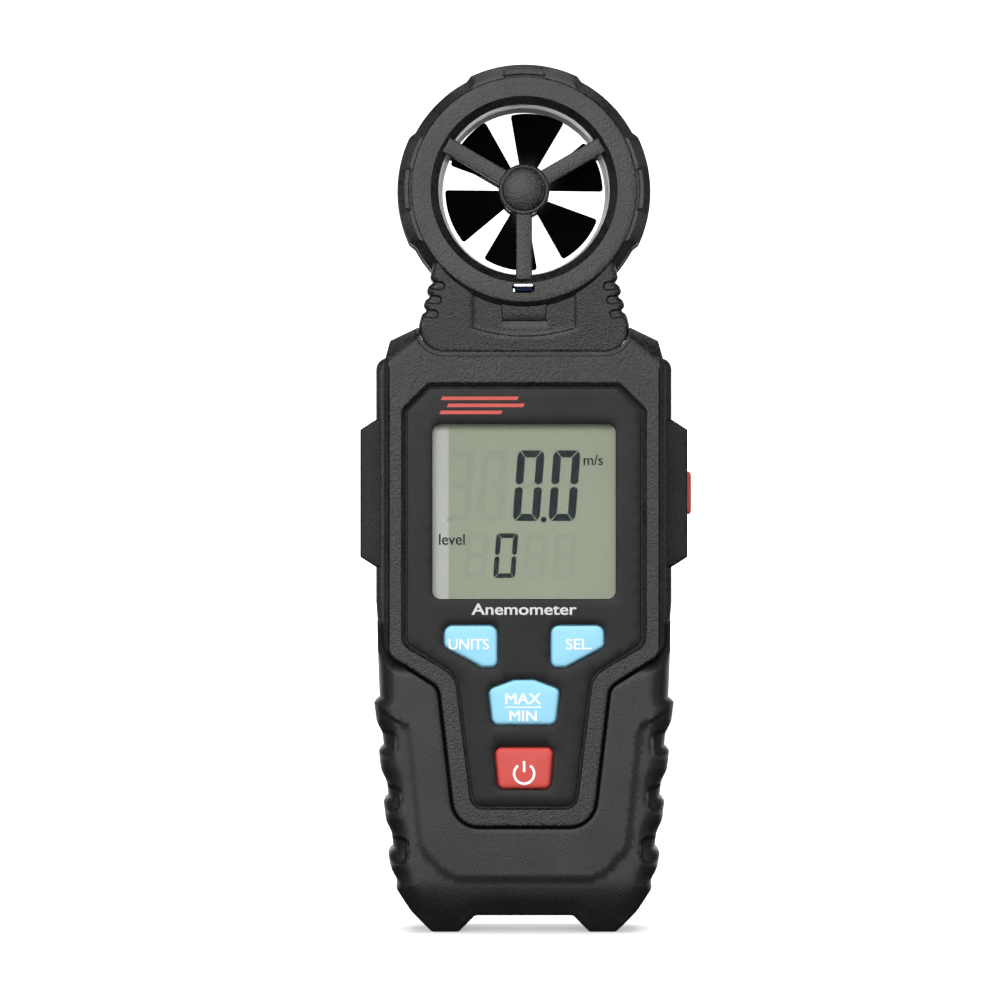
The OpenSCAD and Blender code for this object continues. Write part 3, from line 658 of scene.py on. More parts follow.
def front_grip():
    silhouette = ribbed(rounded(BOOT_CORNERS))
    groove = rounded(FRONT_CORNERS, GROOVE)
    plateau = rounded(PLATEAU_CORNERS)
    inner = rounded(FRONT_CORNERS, -0.8)
    edge_round, edge_deep, foot_round = 3.9, 5.2, 0.9

    def front(p):
        x, z = np.abs(p[:, 0]), p[:, 1]
        side = depth_in(p, silhouette)
        above_foot = ramp(z, 2, 9)
        y = Y_BOOT + body_falloff(z) + fillet(side, edge_round, edge_deep) * above_foot
        y += fillet(side, foot_round) * (1 - above_foot)
        step = 0.34 * (1 - ramp(depth_in(p, plateau), -0.6, 0.0))
        y += step * ramp(side, 0.0, 1.6)
        for pocket in POCKETS:
            inside = depth_in(np.stack([x, z], 1), pocket_line(pocket))
            y += POCKET_ROUND * smooth(inside, -0.15, 0.75)
        y = np.maximum(y, Y_BOOT + 11.2 * smooth(z, 51.5, 62.6))
        to_groove = -depth_in(p, groove)
        y += 0.2 * ramp(0.25 - to_groove, 0, 0.25) ** 2
        groove_floor = -14.9 - 1.3 * np.maximum(-GROOVE, to_groove) / GROOVE
        y = np.where(to_groove < 0.01, np.maximum(y, groove_floor), y)
        return np.minimum(y, Y_SPLIT - 0.4)

    def back(p):
        return np.where(core_wall(p), Y_INNER - 0.2, Y_SPLIT)

    loops = [silhouette, inner, *core_lines(), groove]
    loops += [rounded(FRONT_CORNERS, GROOVE + d) for d in (-0.25, 0.02, 0.12, 0.25)]
    loops += lines(PLATEAU_CORNERS, (0.0, 0.6))
    loops += ribbed_insets(edge_round, 8)
    for pocket in POCKETS:
        for grow in (0.15, -0.15, -0.5, -0.8):
            shape = pocket_line(pocket, grow)
            loops += [shape, shape * [-1, 1]]
    return relief(loops, within(silhouette, inner), front, back, 0.9, 0.35)


def rear_shell():
    edge = rounded(REAR_CORNERS)
    inner = rounded(REAR_CORNERS, -WALL)
    core = rounded(CORE_CORNERS, -WALL)
    door = box_line(0, 43.8, 20.45, 30.05, 1.7)
    bay = box_line(0, 41.1, 17.2, 25.5, 0.4)
    bay_wall = box_line(0, 41.1, 18.8, 27.1, 0.4)
    posts = [(-23.4, 108.0), (23.4, 108.0), (-15.4, 10.8), (15.4, 10.8)]
    well_r, boss_r, nut_r, nut_boss_r = 2.6, 3.5, 1.5, 3.4
    nut = circle(nut_r, 0, DOOR_SCREW_Z, count=20)
    nut_boss = circle(nut_boss_r, 0, DOOR_SCREW_Z, count=24)
    bosses = [circle(boss_r, *p, count=28) for p in posts] + [nut_boss]
    rail_inside, rail_line, edge_round = 27.98, 28.05, 4.2

    def slope(p):
        z = p[:, 1]
        top = 3.0 * ramp(z, 97, 111) ** 1.4 + 3.6 * ramp(z, 110, 120)
        return top + 3.2 * ramp(8.6 - z, 0, 3) ** 1.5

    def front(p):
        rail = (p[:, 1] > 48) & (np.abs(p[:, 0]) > rail_inside)
        in_groove = rail & (np.abs(p[:, 0]) < 28.12)
        y = np.where(rail, -3.4 + fillet(depth_in(p, edge), RAIL_ROUND), Y_SPLIT)
        y = np.where(in_groove, -1.0, y)
        hollow = (depth_in(p, inner) > LINE_GAP) & (depth_in(p, core) > LINE_GAP)
        for ring in bosses:
            hollow &= depth_in(p, ring) < -LINE_GAP
        y = np.where(hollow, Y_BACK - WALL - slope(p), y)
        return sunk(y, p, bay_wall, 2.2)

    def back(p):
        y = Y_BACK - slope(p) - fillet(depth_in(p, edge), edge_round, 4.6)
        y = sunk(y, p, door, Y_BACK - 2.0, LINE_GAP)
        y = sunk(y, p, bay, 3.8, LINE_GAP)
        for post in posts:
            y = sunk(y, p, circle(well_r, *post, count=28), np.minimum(y, 10.0))
        return sunk(y, p, nut, 9.5)

    loops = [edge, inner, rounded(REAR_CORNERS, -WALL - STEP), nut, nut_boss,
             circle(nut_r + STEP, 0, DOOR_SCREW_Z, count=20),
             circle(nut_boss_r + STEP, 0, DOOR_SCREW_Z, count=24), door, bay, bay_wall,
             rounded(CORE_CORNERS, 0.08), *core_lines(),
             box_line(0, 43.8, 20.4, 30.0, 1.65), box_line(0, 41.1, 17.15, 25.45, 0.4),
             box_line(0, 41.1, 18.85, 27.15, 0.4)]
    loops += [rounded(REAR_CORNERS, -d)
              for d in fillet_steps(edge_round, 6) + fillet_steps(RAIL_ROUND)]
    loops += [box_line(side * rail_line, 81.5, w, 34.5, 0.02, arc=1)
              for side in (-1, 1) for w in (STEP, 2 * STEP)]
    for p in posts:
        loops += [circle(r + d, *p, count=28) for r in (well_r, boss_r) for d in (0, STEP)]
    return relief(loops, within(edge), front, back, 1.6, 0.6)


def rear_grip():
    silhouette = ribbed(rounded(BOOT_CORNERS))
    inner = rounded(REAR_CORNERS, -0.3)
    around = within(silhouette, inner)
    edge_round, edge_deep, far = 3.0, 3.6, 40

    def keep(p):
        return around(p) & (p[:, 1] < REAR_BOOT_TOP)

    def back(p):
        z = p[:, 1]
        y = 12.6 - 1.2 * ramp(3.0 - z, 0, 3.0)
        y -= fillet(depth_in(p, silhouette), edge_round, edge_deep)
        return y - 0.8 * smooth(z, 46.0, REAR_BOOT_TOP)

    cut = rounded([(-far, -5, 0.1), (far, -5, 0.1), (far, REAR_BOOT_TOP, 0.1),
                   (-far, REAR_BOOT_TOP, 0.1)], arc=1)
    loops = [silhouette, inner, cut] + ribbed_insets(edge_round, 6)
    return relief(loops, keep, level(Y_SPLIT), back, 1.1, 0.4)


def front_panel():
    edge_round = 0.16
    shapes = [(PANEL_CORNERS, -0.08, -1), (WINDOW, 0.05, 1)]
    shapes += [(corners, KEY_GAP - 0.02, 1) for corners, *_ in KEYS.values()]
    edge, *holes = (rounded(corners, grow) for corners, grow, _ in shapes)

    def inside(p):
        d = depth_in(p, edge)
        for hole in holes:
            d = np.minimum(d, -depth_in(p, hole))
        return d

    loops = [rounded(corners, grow + way * d) for corners, grow, way in shapes
             for d in (0, *fillet_steps(edge_round, 3))]
    return relief(loops, lambda p: inside(p) > 0,
                  lambda p: Y_PANEL + fillet(inside(p), edge_round), level(Y_FLOOR), 1.8, 0.6)


def key(corners, stem):
    """A domed cap with a thin flange behind the panel, and the post that presses the switch."""
    edge = rounded(corners)
    flange = rounded(corners, 0.7)
    edge_round, dome_reach, flange_front, flange_back = 0.7, 3.2, -12.85, -12.05

    def front(p):
        inside = depth_in(p, edge)
        dome = 0.12 * (1 - smooth(inside, 0, dome_reach))
        return np.where(inside > -0.015, KEY_TOP + fillet(inside, edge_round) + dome, flange_front)

    loops = inset_lines(corners, edge_round, 5)
    loops += [rounded(corners, -d) for d in (1.2, 2.2, dome_reach)]
    loops += [rounded(corners, 0.03), flange]
    top = relief(loops, within(flange), front, level(flange_back), 0.9, 0.3)
    post = lathe([(0.02, -12.3), (1.6, -12.3), (1.6, -11.2), (1.5, -11.1), (0.02, -11.1)], 24,
                 stem[1], stem[0])
    return [top, post]


def turned_side(sign):
    """Turns a solid made facing -Y so that it faces +X or -X."""
    return Matrix.Rotation(math.radians(90 * sign), 4, "Z")


def side_pad(sign):
    """Faces outwards along X: the u axis of its outline runs along Y. The right one has a key."""
    u, z = PAD_MIDDLE
    half_u, half_z = 6.0, 15.0
    end_slope, end_deep, rear_slope, edge_round = 2.2, 3.4, 1.5, 0.45
    corners = box_corners(u * sign, z, half_u, half_z, 0.7)
    edge = rounded(corners)
    key_u, key_z = SIDE_KEY_MIDDLE
    gaps = [box_line(key_u, key_z, 2.5 + grow, 4.3 + grow, radius)
            for grow, radius in ((KEY_GAP, 0.9), (0.45, 1.0))] if sign > 0 else []

    def front(p):
        off = p[:, 0] * sign - u
        ends = half_z - np.abs(p[:, 1] - z)
        x = PAD_FACE - end_deep * (1 - ramp(ends, 0, end_slope))
        x -= fillet(depth_in(p, edge), edge_round)
        x -= 2.2 * (1 - ramp(half_u - np.abs(off), 0, rear_slope)) * (off > 0)
        return -np.maximum(x, 29.3)

    loops = inset_lines(corners, edge_round) + [rounded(corners, -0.8)]
    for end in (-1, 1):
        crease = z + end * (half_z - end_slope)
        loops.append(box_line(u * sign, crease, half_u - 0.05, 0.06, 0.02, arc=1))
    crease = (u + half_u - rear_slope) * sign
    loops.append(box_line(crease, z, 0.06, half_z - 0.05, 0.02, arc=1))
    pad = relief(loops + gaps, within(edge, *gaps[:1]), front, level(-28.8), 0.8, 0.4)
    return moved(pad, turned_side(sign))


def side_key():
    corners = box_corners(*SIDE_KEY_MIDDLE, 2.5, 4.3, 0.8)
    edge = rounded(corners)
    edge_round, face = 0.5, 33.8

    def front(p):
        inside = depth_in(p, edge)
        return fillet(inside, edge_round) + 0.12 * (1 - smooth(inside, 0, 2)) - face

    loops = inset_lines(corners, edge_round) + [rounded(corners, -1.0)]
    cap = relief(loops, within(edge), front, level(-26.2), 0.7, 0.35)
    stem = box_line(*SIDE_KEY_MIDDLE, 1.5, 1.5, 0.3)
    arm = relief([stem], within(stem), level(-26.3), level(-24.7), 1.0, 0.5)
    return [moved(cap, turned_side(1)), moved(arm, turned_side(1))]


def battery_door():
    corners = box_corners(0, 43.8, 20.2, 29.8, 1.5)
    edge = rounded(corners)
    hole = circle(1.4, 0, DOOR_SCREW_Z, count=28)
    seat_r, edge_round = 2.5, 0.45
    seat = circle(seat_r, 0, DOOR_SCREW_Z, count=32)
    pads = [box_line(side * 5.45, 41.0, 1.0, 17.0, 0.3) for side in (-1, 1)]

    def back(p):
        """The outside, with a field of thumb ridges 1 mm wide near the bottom."""
        x, z = np.abs(p[:, 0]), p[:, 1]
        y = Y_BACK - fillet(depth_in(p, edge), edge_round)
        ridged = ramp(8.5 - x, 0, 0.8) * ramp(z, 17.4, 17.9) * (1 - ramp(z, 27.9, 28.4))
        y -= ridged * (0.28 + 0.28 * np.cos((z - 18.0) * math.pi))
        return sunk(y, p, seat, Y_BACK - 1.0)

    def front(p):
        y = np.full(len(p), Y_BACK - WALL)
        for pad in pads:
            y = sunk(y, p, pad, Y_BACK - 3.8)
        return y

    loops = inset_lines(corners, edge_round)
    loops += [hole, seat, circle(seat_r + STEP, 0, DOOR_SCREW_Z, count=32), *pads]
    loops += [box_line(side * 5.45, 41.0, 1.0 + STEP, 17.0 + STEP, 0.3) for side in (-1, 1)]
    loops += [box_line(0, 17.4 + 0.25 * k, 8.5, 0.02, 0.01, arc=1) for k in range(45)]
    loops.append(box_line(0, 22.9, 7.7, 5.6, 0.1))
    return relief(loops, within(edge, hole), front, back, 1.4, 0.5)


# ------------------------------------------------------------------ vane head

def polar(p):
    """Distance from the head's axis, and direction in degrees."""
    x, z = p[:, 0], p[:, 1] - AXIS_Z
    return np.hypot(x, z), np.degrees(np.arctan2(z, x))


def from_lobe(angle):
    """Degrees from the middle of the nearest lobe: the right, top and left of the ring."""
    angle = (np.asarray(angle) + 180) % 360 - 180
    return np.minimum(np.minimum(np.abs(angle), np.abs(angle - 90)), 180 - np.abs(angle))


def face_radius(angle):
    """Where the flat face of the ring ends: further out on the two shoulders of each lobe."""
    off = from_lobe(angle)
    return FACE_R + 0.7 * (1 - ramp(off, 25.3, 27.6)) * ramp(off, 9.6, 10.9)


def ring_radius(angle, grow=0.0):
    """The outside of the ring, which is wider at its three lobes."""
    return HEAD_R + grow - 0.65 * ramp(from_lobe(angle), 25.0, 28.0)


def polar_loop(radius):
    """Closed line around the head's axis whose radius depends on the direction."""
    t = np.linspace(-180, 180, 720, endpoint=False)
    r = radius(t)
    a = np.radians(t)
    return np.stack([r * np.cos(a), AXIS_Z + r * np.sin(a)], 1)


def arc_patch(r0, r1, half, middle, slant=0.0):
    """Closed outline of a patch of ring: its ends slant by `slant` degrees."""
    outer = np.radians(np.linspace(middle - half, middle + half, 17))
    inner = np.radians(np.linspace(middle + half + slant, middle - half - slant, 17))
    arcs = [np.stack([r * np.cos(t), AXIS_Z + r * np.sin(t)], 1)
            for r, t in ((r1, outer), (r0, inner))]
    return np.concatenate(arcs)


def head_front():
    outer = polar_loop(ring_radius)
    inner = ring_line(DUCT_R + 0.5)
    slot = rounded(SENSOR_SLOT, 0.3)
    grips = [arc_patch(23.05, 23.95, 9.2, a, 0.7) for a in LOBES]
    grooves = [arc_patch(22.45, 23.05, 10.2, a) for a in LOBES]

    def front(p):
        r, angle = polar(p)
        edge, rim = face_radius(angle), ring_radius(angle)
        y = -13.42 + 2.7 * ramp((r - edge) / (rim - edge), 0, 1)
        y = np.where(r < FACE_R + 0.02, Y_BEZEL_BACK + 0.05, y)
        for groove in grooves:
            y = sunk(y, p, groove, -12.1, -0.012)
        for grip in grips:
            y = sunk(y, p, grip, -13.45 + fillet(depth_in(p, grip), 0.12))
        return y

    loops = [outer, inner, slot, polar_loop(face_radius), ring_line(FACE_R, 180),
             ring_line(FACE_R + 0.04, 180)]
    patches = [(23.05, 23.95, 9.2, 0.7), (23.0, 24.0, 9.3, 0.7), (23.15, 23.85, 9.0, 0.7),
               (22.45, 23.0, 10.2, 0.0), (22.42, 23.03, 10.3, 0.0)]
    loops += [arc_patch(r0, r1, half, a, slant) for a in LOBES for r0, r1, half, slant in patches]
    return relief(loops, within(outer, inner, slot), front, level(Y_HEAD_SPLIT), 1.0, 0.4)


def neck_side(z):
    """Half width of the neck, with the hollows between its finger ribs."""
    z = np.asarray(z, float)
    wide = np.interp(z, [121.3, 131.7, 134.0, 138.5], [21.0, 18.55, 18.0, 12.0])
    for notch in (124.2, 127.0, 129.8):
        wide = wide - 0.75 * np.exp(-((z - notch) / 0.55) ** 2)
    return wide


def neck_loop(inset=0.0):
    """The neck's outline, or the line a distance inside it."""
    corner, low, side_low = 5.0 - inset, 115.95 + inset, 121.2
    z = np.linspace(side_low + 0.1, 138.5, 120)
    right = [(16 + corner * math.cos(t), low + corner + corner * math.sin(t))
             for t in np.radians(np.linspace(-90, 0, 24))]
    right += list(zip(neck_side(z), z))
    line = np.array(right + [(-x, z) for x, z in reversed(right)])
    line[:, 0] -= np.sign(line[:, 0]) * inset * (line[:, 1] > side_low)
    return line


def neck_tongue(front, back):
    """The tongue of the neck that lies between the two shells."""
    edge = box_line(0, 112.5, 14.8, 5.5, 0.5)
    return relief([edge], within(edge), level(front), level(back), 3.0, 1.0)


def slot_pills(grow=0.0):
    """The six pill-shaped slots beside the finger ribs."""
    tilt = math.radians(6.0)
    turn = np.array([[math.cos(tilt), math.sin(tilt)], [-math.sin(tilt), math.cos(tilt)]])
    loops = []
    for k, z in enumerate((123.4, 126.2, 129.0)):
        inner, outer = 17.0 - 0.65 * k, 24.0
        line = box_line((inner + outer) / 2, z, (outer - inner) / 2 + grow, 0.95 + grow,
                        0.93 + grow)
        line = (line - [inner, z]) @ turn + [inner, z]
        loops += [line, (line * [-1, 1])[::-1]]
    return loops


def framed_edge(inset=0.0):
    """The recess on the front of the neck, whose lower edge is a shallow arc."""
    half = 10.5 - inset
    x = np.linspace(-half, half, 25)
    low = 118.85 + inset + 1.75 * (x / half) ** 2
    return np.array(list(zip(x, low)) + [(half, 131.0), (-half, 131.0)])


def neck_front():
    edge = neck_loop()
    frame_edge = framed_edge()
    tab = rounded(NECK_TAB)
    tab_foot = 122.15
    bore = ring_line(FACE_R - 0.6)
    slots = slot_pills()

    def front(p):
        x, z = np.abs(p[:, 0]), p[:, 1]
        rim = 0.28 + 0.9 * ramp(z, 118, 123)
        y = Y_NECK - 0.3 + 0.11 * (131 - z) + fillet(depth_in(p, edge), rim)
        off_tab = 1 - smooth(depth_in(p, tab), -0.25, 0.0)
        y += 0.32 * smooth(depth_in(p, frame_edge), 0.0, 0.48) * off_tab
        y += 0.35 * smooth(-np.abs(z - tab_foot), -0.3, -0.05) * ramp(4.4 - x, 0, 0.3)
        for slot in slots:
            y += 0.85 * smooth(depth_in(p, slot), 0.0, 0.35)
        return y

    loops = [edge, bore]
    loops += [framed_edge(d) for d in (0.0, 0.16, 0.32, 0.48)]
    loops += lines(NECK_TAB, (0.0, 0.12, 0.25))
    loops += [neck_loop(d) for d in fillet_steps(1.5, 5)]
    for d in (0.0, -0.17, -0.35):
        loops += slot_pills(d)
    body = relief(loops, within(edge, bore), front, level(Y_HEAD_SPLIT), 0.8, 0.33)
    return [body, neck_tongue(-9.6, Y_HEAD_SPLIT)]


def head_rear():
    extra, edge_round, neck_round = 0.35, 1.8, 1.6
    outer = polar_loop(lambda t: ring_radius(t, extra))
    inner = ring_line(DUCT_R + 0.5)
    seat = ring_line(DUCT_R + 2.4)
    screws = [(21.6 * math.cos(math.radians(a)), AXIS_Z + 21.6 * math.sin(math.radians(a)))
              for a in HEAD_SCREWS]
    wells = [circle(HEAD_SCREW_R, *p, count=24) for p in screws]

    def well_lines(screws):
        return [circle(HEAD_SCREW_R + d, *p, count=24) for p in screws for d in (0, STEP)]

    def ring_back(p):
        y = Y_HEAD_BACK - fillet(depth_in(p, outer), edge_round)
        y = sunk(y, p, seat, Y_HEAD_BACK - 2.0)
        for well in wells:
            y = sunk(y, p, well, Y_HEAD_BACK - 3.0)
        return y

    loops = [outer, inner, seat, ring_line(DUCT_R + 2.4 + STEP), *well_lines(screws)]
    loops += [polar_loop(lambda t, d=d: ring_radius(t, extra - d))
              for d in fillet_steps(edge_round, 5)]
    ring = relief(loops, within(outer, inner), level(Y_HEAD_SPLIT), ring_back, 1.3, 0.5)

    edge = neck_loop()
    bore = ring_line(20.5)

    def neck_back(p):
        y = 5.0 - fillet(depth_in(p, edge), neck_round)
        return sunk(y, p, wells[-1], Y_HEAD_BACK - 3.0)

    loops = [edge, bore] + [neck_loop(d) for d in fillet_steps(neck_round, 4)]
    loops += well_lines(screws[-1:])
    neck = relief(loops, within(edge, bore), level(Y_HEAD_SPLIT), neck_back, 1.2, 0.4)
    return [ring, neck, neck_tongue(Y_HEAD_SPLIT, 2.5)]


def spokes(y0, y1, front_side):
    """Three spokes with rounded edges on the side that shows, which run into the ring."""
    edge_round = 0.22
    corners = [(2.0, -1.6, 0.05), (18.0, -1.6, 0.05), (18.0, 1.6, 0.05), (2.0, 1.6, 0.05)]
    line, *steps = (rounded(corners, -d, arc=1) for d in (0, *fillet_steps(edge_round, 3)))
    front, back = level(y0), level(y1)
    if front_side:
        front = lambda p: y0 + fillet(depth_in(p, line), edge_round)
    else:
        back = lambda p: y1 - fillet(depth_in(p, line), edge_round)
    arm = relief([line] + steps, within(line), front, back, 1.2, 0.8)
    centre = Matrix.Translation((0, 0, AXIS_Z))
    return [moved(arm, centre @ Matrix.Rotation(-math.radians(a), 4, "Y")) for a in SPOKES]


def front_bezel():
    outer = ring_line(FACE_R - 0.05, 180)
    duct = ring_line(DUCT_R, 144)
    slot = rounded(SENSOR_SLOT)

    def front(p):
        chamfer = 1.9 * ramp(CHAMFER_R - polar(p)[0], 0, CHAMFER_R - DUCT_R)
        y = Y_BEZEL + fillet(depth_in(p, outer), 0.14)
        return y + chamfer + fillet(-depth_in(p, slot), 0.12)

    loops = [outer, duct, ring_line(CHAMFER_R, 144), ring_line(CHAMFER_R + 0.15, 144), slot,
             rounded(SENSOR_SLOT, 0.12)]
    loops += [ring_line(FACE_R - 0.05 - d, 180) for d in fillet_steps(0.14, 3)]
    ring = relief(loops, within(outer, duct, slot), front, level(Y_BEZEL_BACK), 1.0, 0.4)
    hub = lathe([(0.05, -12.8), (CAP_R, -12.8), (CAP_R + 0.1, -13.25), (4.65, -13.3),
                 (4.9, -13.22), (HUB_R, -13.0), (HUB_R, -9.6), (3.4, -8.1), (0.05, -8.1)])
    return [ring, hub] + spokes(-13.05, -10.9, True)


def sensor_lip():
    """The bright metal edge along the top of the sensor's slot and at one end of it."""
    top = box_line(-0.12, 129.22, 1.85, 0.2, 0.18)
    end = box_line(-2.02, 128.2, 0.15, 0.3, 0.1)
    return [plate(top, -13.15, 1.4), plate(end, -12.9, 1.1)]


def hub_cap():
    top, dome, front = CAP_R - 0.25, 0.62, -13.4
    profile = [(0.03, -12.7), (CAP_R - 0.1, -12.7), (CAP_R - 0.08, -13.1), (top, front)]
    for k in range(1, 9):
        r = top * (1 - k / 8)
        profile.append((max(r, 0.03), front - dome * (1 - (r / CAP_R) ** 2)))
    return lathe(profile)


def duct_end():
    """The pale sleeve narrows a little just inside the rear bezel."""
    return lathe([(DUCT_R - 0.02, 2.6), (DUCT_R - 0.7, 4.4), (DUCT_R - 0.7, 6.0),
                  (DUCT_R - 0.02, 6.2)], 144)


def rear_bezel():
    ring = lathe([(DUCT_R, 4.3), (DUCT_R + 2.3, 4.3), (DUCT_R + 2.3, 6.1), (DUCT_R + 2.1, 6.3),
                  (DUCT_R + 1.2, 6.3), (DUCT_R, 5.1)], 144)
    hub = lathe([(0.05, 1.2), (3.6, 1.2), (HUB_R, 2.4), (HUB_R, 5.9), (HUB_R - 0.35, 6.25),
                 (3.0, 6.3), (0.05, 6.3)])
    return [ring, hub] + spokes(4.3, 6.15, False)


def blade_turns():
    """Places across a blade, closer together where its tip corners are round."""
    ends = [-0.5, -0.495, -0.485, -0.47, -0.45]
    return ends + list(np.linspace(-0.42, 0.42, 15)) + [-t for t in reversed(ends)]


def blade(at):
    """A helical blade with rounded tip corners, from the hub to its tip."""
    out, lead, arc, half, root_r, middle_y = 10, 7.0, 40.5, 0.4, 3.6, -3.5
    turns = blade_turns()
    around = len(turns) - 1
    verts, faces = [], []
    for side in (-1, 1):
        for t in turns:
            near_end = (0.5 - abs(t)) * math.radians(arc) * BLADE_R
            short = max(0.0, BLADE_ROUND - near_end)
            tip = BLADE_R - BLADE_ROUND + math.sqrt(max(0.0, BLADE_ROUND ** 2 - short ** 2))
            thin = half * (1 - 0.55 * (2 * abs(t)) ** 6)
            angle = math.radians(at + arc * t)
            y = middle_y + lead * t + side * thin
            for r in np.linspace(root_r, tip, out + 1):
                verts.append((r * math.cos(angle), y, AXIS_Z + r * math.sin(angle)))
    row, n = out + 1, (around + 1) * (out + 1)
    for i in range(around):
        for j in range(out):
            a = i * row + j
            faces.append((a, a + 1, a + row + 1, a + row))
            faces.append((a + n, a + row + n, a + row + 1 + n, a + 1 + n))
    rim = [i * row + out for i in range(around + 1)]
    root = [i * row for i in range(around + 1)]
    first = list(range(row))
    last = [around * row + j for j in range(row)]
    for line, flip in ((rim, False), (root, True), (first, False), (last, True)):
        for a, b in zip(line, line[1:]):
            faces.append((a, a + n, b + n, b) if flip else (a, b, b + n, a + n))
    return np.array(verts), faces


def impeller():
    hub = lathe([(0.76, -6.1), (4.0, -6.1), (4.0, 0.1), (3.7, 0.5), (0.76, 0.5)], 72)
    rings = [lathe([(3.9, y), (4.45, y), (4.45, y + 0.35), (3.9, y + 0.35)], 60)
             for y in (-5.6, -4.9, -1.9, -1.2)]
    blades = [blade(19.6 + 360 / BLADE_COUNT * k) for k in range(BLADE_COUNT)]
    return [hub] + rings + blades


# ------------------------------------------------------------------ display and print

def bar_outlines(width, height, across, thick):
    """The seven bars of a digit, from its lower left corner: mitred where they meet."""
    middle, gap, cut = height / 2, 0.05 * across, 0.36 * across
    top = [(cut + gap, height), (width - cut - gap, height),
           (width - across - gap, height - thick), (across + gap, height - thick)]
    left = [(across / 2, middle + 0.1 * across), (across, middle + 0.42 * across),
            (across, height - thick - gap), (cut - gap, height - 0.1 * across),
            (0.1 * across, height - 0.4 * across), (0.0, height - 0.8 * across),
            (0.0, middle + 0.42 * across)]
    cross = [(0.6 * across, middle), (across, middle + thick / 2),
             (width - across, middle + thick / 2), (width - 0.6 * across, middle),
             (width - across, middle - thick / 2), (across, middle - thick / 2)]
    bars = {"a": top, "f": left, "g": cross}
    bars["b"] = [(width - x, z) for x, z in left]
    for name, source in (("d", "a"), ("e", "f"), ("c", "b")):
        bars[name] = [(x, height - z) for x, z in bars[source]]
    return bars


def digit(x, z, size, shown, hidden):
    """The bars named in shown, or with hidden the faint unlit ones that are left."""
    y = Y_LCD - (0.012 if hidden else 0.03)
    lean = 0.077
    parts = []
    for name, outline in bar_outlines(*size).items():
        if (name in shown) != hidden:
            loop = np.array([(x + u + lean * w, z + w) for u, w in outline])
            parts.append(plate(loop, y, 0.01))
    return parts


def flat_text(text):
    """Corners and faces of a word in Blender's own font."""
    curve = bpy.data.curves.new("word", "FONT")
    curve.body = text
    curve.resolution_u = 4
    font = in_scene("word", curve)
    bpy.context.view_layer.update()
    seen = font.evaluated_get(bpy.context.evaluated_depsgraph_get())
    flat = bpy.data.meshes.new_from_object(seen)
    bpy.data.objects.remove(font)
    return np.array([v.co[:2] for v in flat.vertices]), [tuple(f.vertices) for f in flat.polygons]


def lettering(name, text, middle, height, bold, wide, y, material, slot, body="root"):
    """Raised print of a generic word, facing the front.
    Copies moved apart by bold millimetres make its strokes heavier."""
    co, faces = flat_text(text)
    low, high = co.min(0), co.max(0)
    scale = height / (high[1] - low[1])
    co = (co - (low + high) / 2) * [scale * wide, scale] + middle
    n = len(co)
    solid = faces + [tuple(i + n for i in reversed(f)) for f in faces]
    edges = {(f[i], f[(i + 1) % len(f)]) for f in faces for i in range(len(f))}
    solid += [(b, a, a + n, b + n) for a, b in sorted(edges) if (b, a) not in edges]
    shifts = [(-1, -0.6), (1, -0.6), (-1, 0.6), (1, 0.6)]
    copies = []
    for k, (dx, dz) in enumerate(shifts):
        x, z = co[:, 0] + dx * bold, co[:, 1] + dz * bold
        levels = (y - 0.004 * k, y + 0.02)
        verts = np.concatenate([np.stack([x, np.full(n, at), z], 1) for at in levels])
        copies.append((verts, solid))
    piece(name, copies, material, body)


def build_display():
    big, small = (5.4, 14.1, 1.6, 1.42), (4.4, 8.9, 1.0, 0.93)
    big_z, small_z, print_y = 82.16, 70.8, Y_LCD - 0.03
    zero = "abcdef"
    lit = [(-2.33, big_z, big), (4.82, big_z, big), (-6.2, small_z, small)]
    shown = [bar for place in lit for bar in digit(*place, zero, False)]
    shown.insert(2 * len(zero), plate(circle(0.57, 3.91, 82.46, 24), print_y, 0.01))
    off = [bar for place in lit for bar in digit(*place, zero, True)]
    off += digit(-16.2, big_z, big, "ef", True) + digit(-9.48, big_z, big, "", True)
    for x in (-12.1, -0.3, 5.6):
        off += digit(x, small_z, small, "", True)
    piece("display_digits", shown, DIGIT)
    piece("display_digits_off", off, GHOST)
    for word in (("display_unit", "m/s", (13.8, 94.35), 2.1, 0.035, 0.95),
                 ("display_level", "level", (-14.4, 78.5), 2.2, 0.03, 0.94)):
        lettering(*word, print_y, DIGIT, "display")


def wind_mark():
    """A plain mark in place of the maker's: three bars that lean like a gust."""
    half = 0.35
    bars = []
    for k, (x0, x1) in enumerate(((-16.6, -1.4), (-15.4, -0.2), (-16.9, -4.6))):
        z = 106.6 - 1.4 * k
        loop = [(x0, z - half), (x1, z - half), (x1 + half, z + half), (x0 + half, z + half)]
        bars.append(plate(np.array(loop), Y_PANEL - 0.02, 0.03))
    return bars


def power_symbol():
    radius, z, stroke, thick = 2.0, 31.9, 0.5, 0.05
    t = np.radians(np.linspace(90 + 38, 90 + 322, 40))
    ring = np.stack([radius * np.cos(t), z + radius * np.sin(t)], 1)
    bar = [(0, 32.2), (0, 33.3), (0, 34.4)]
    return [strip(line, stroke, PRINT_TOP, thick) for line in (ring, bar)]


# ------------------------------------------------------------------ assembly

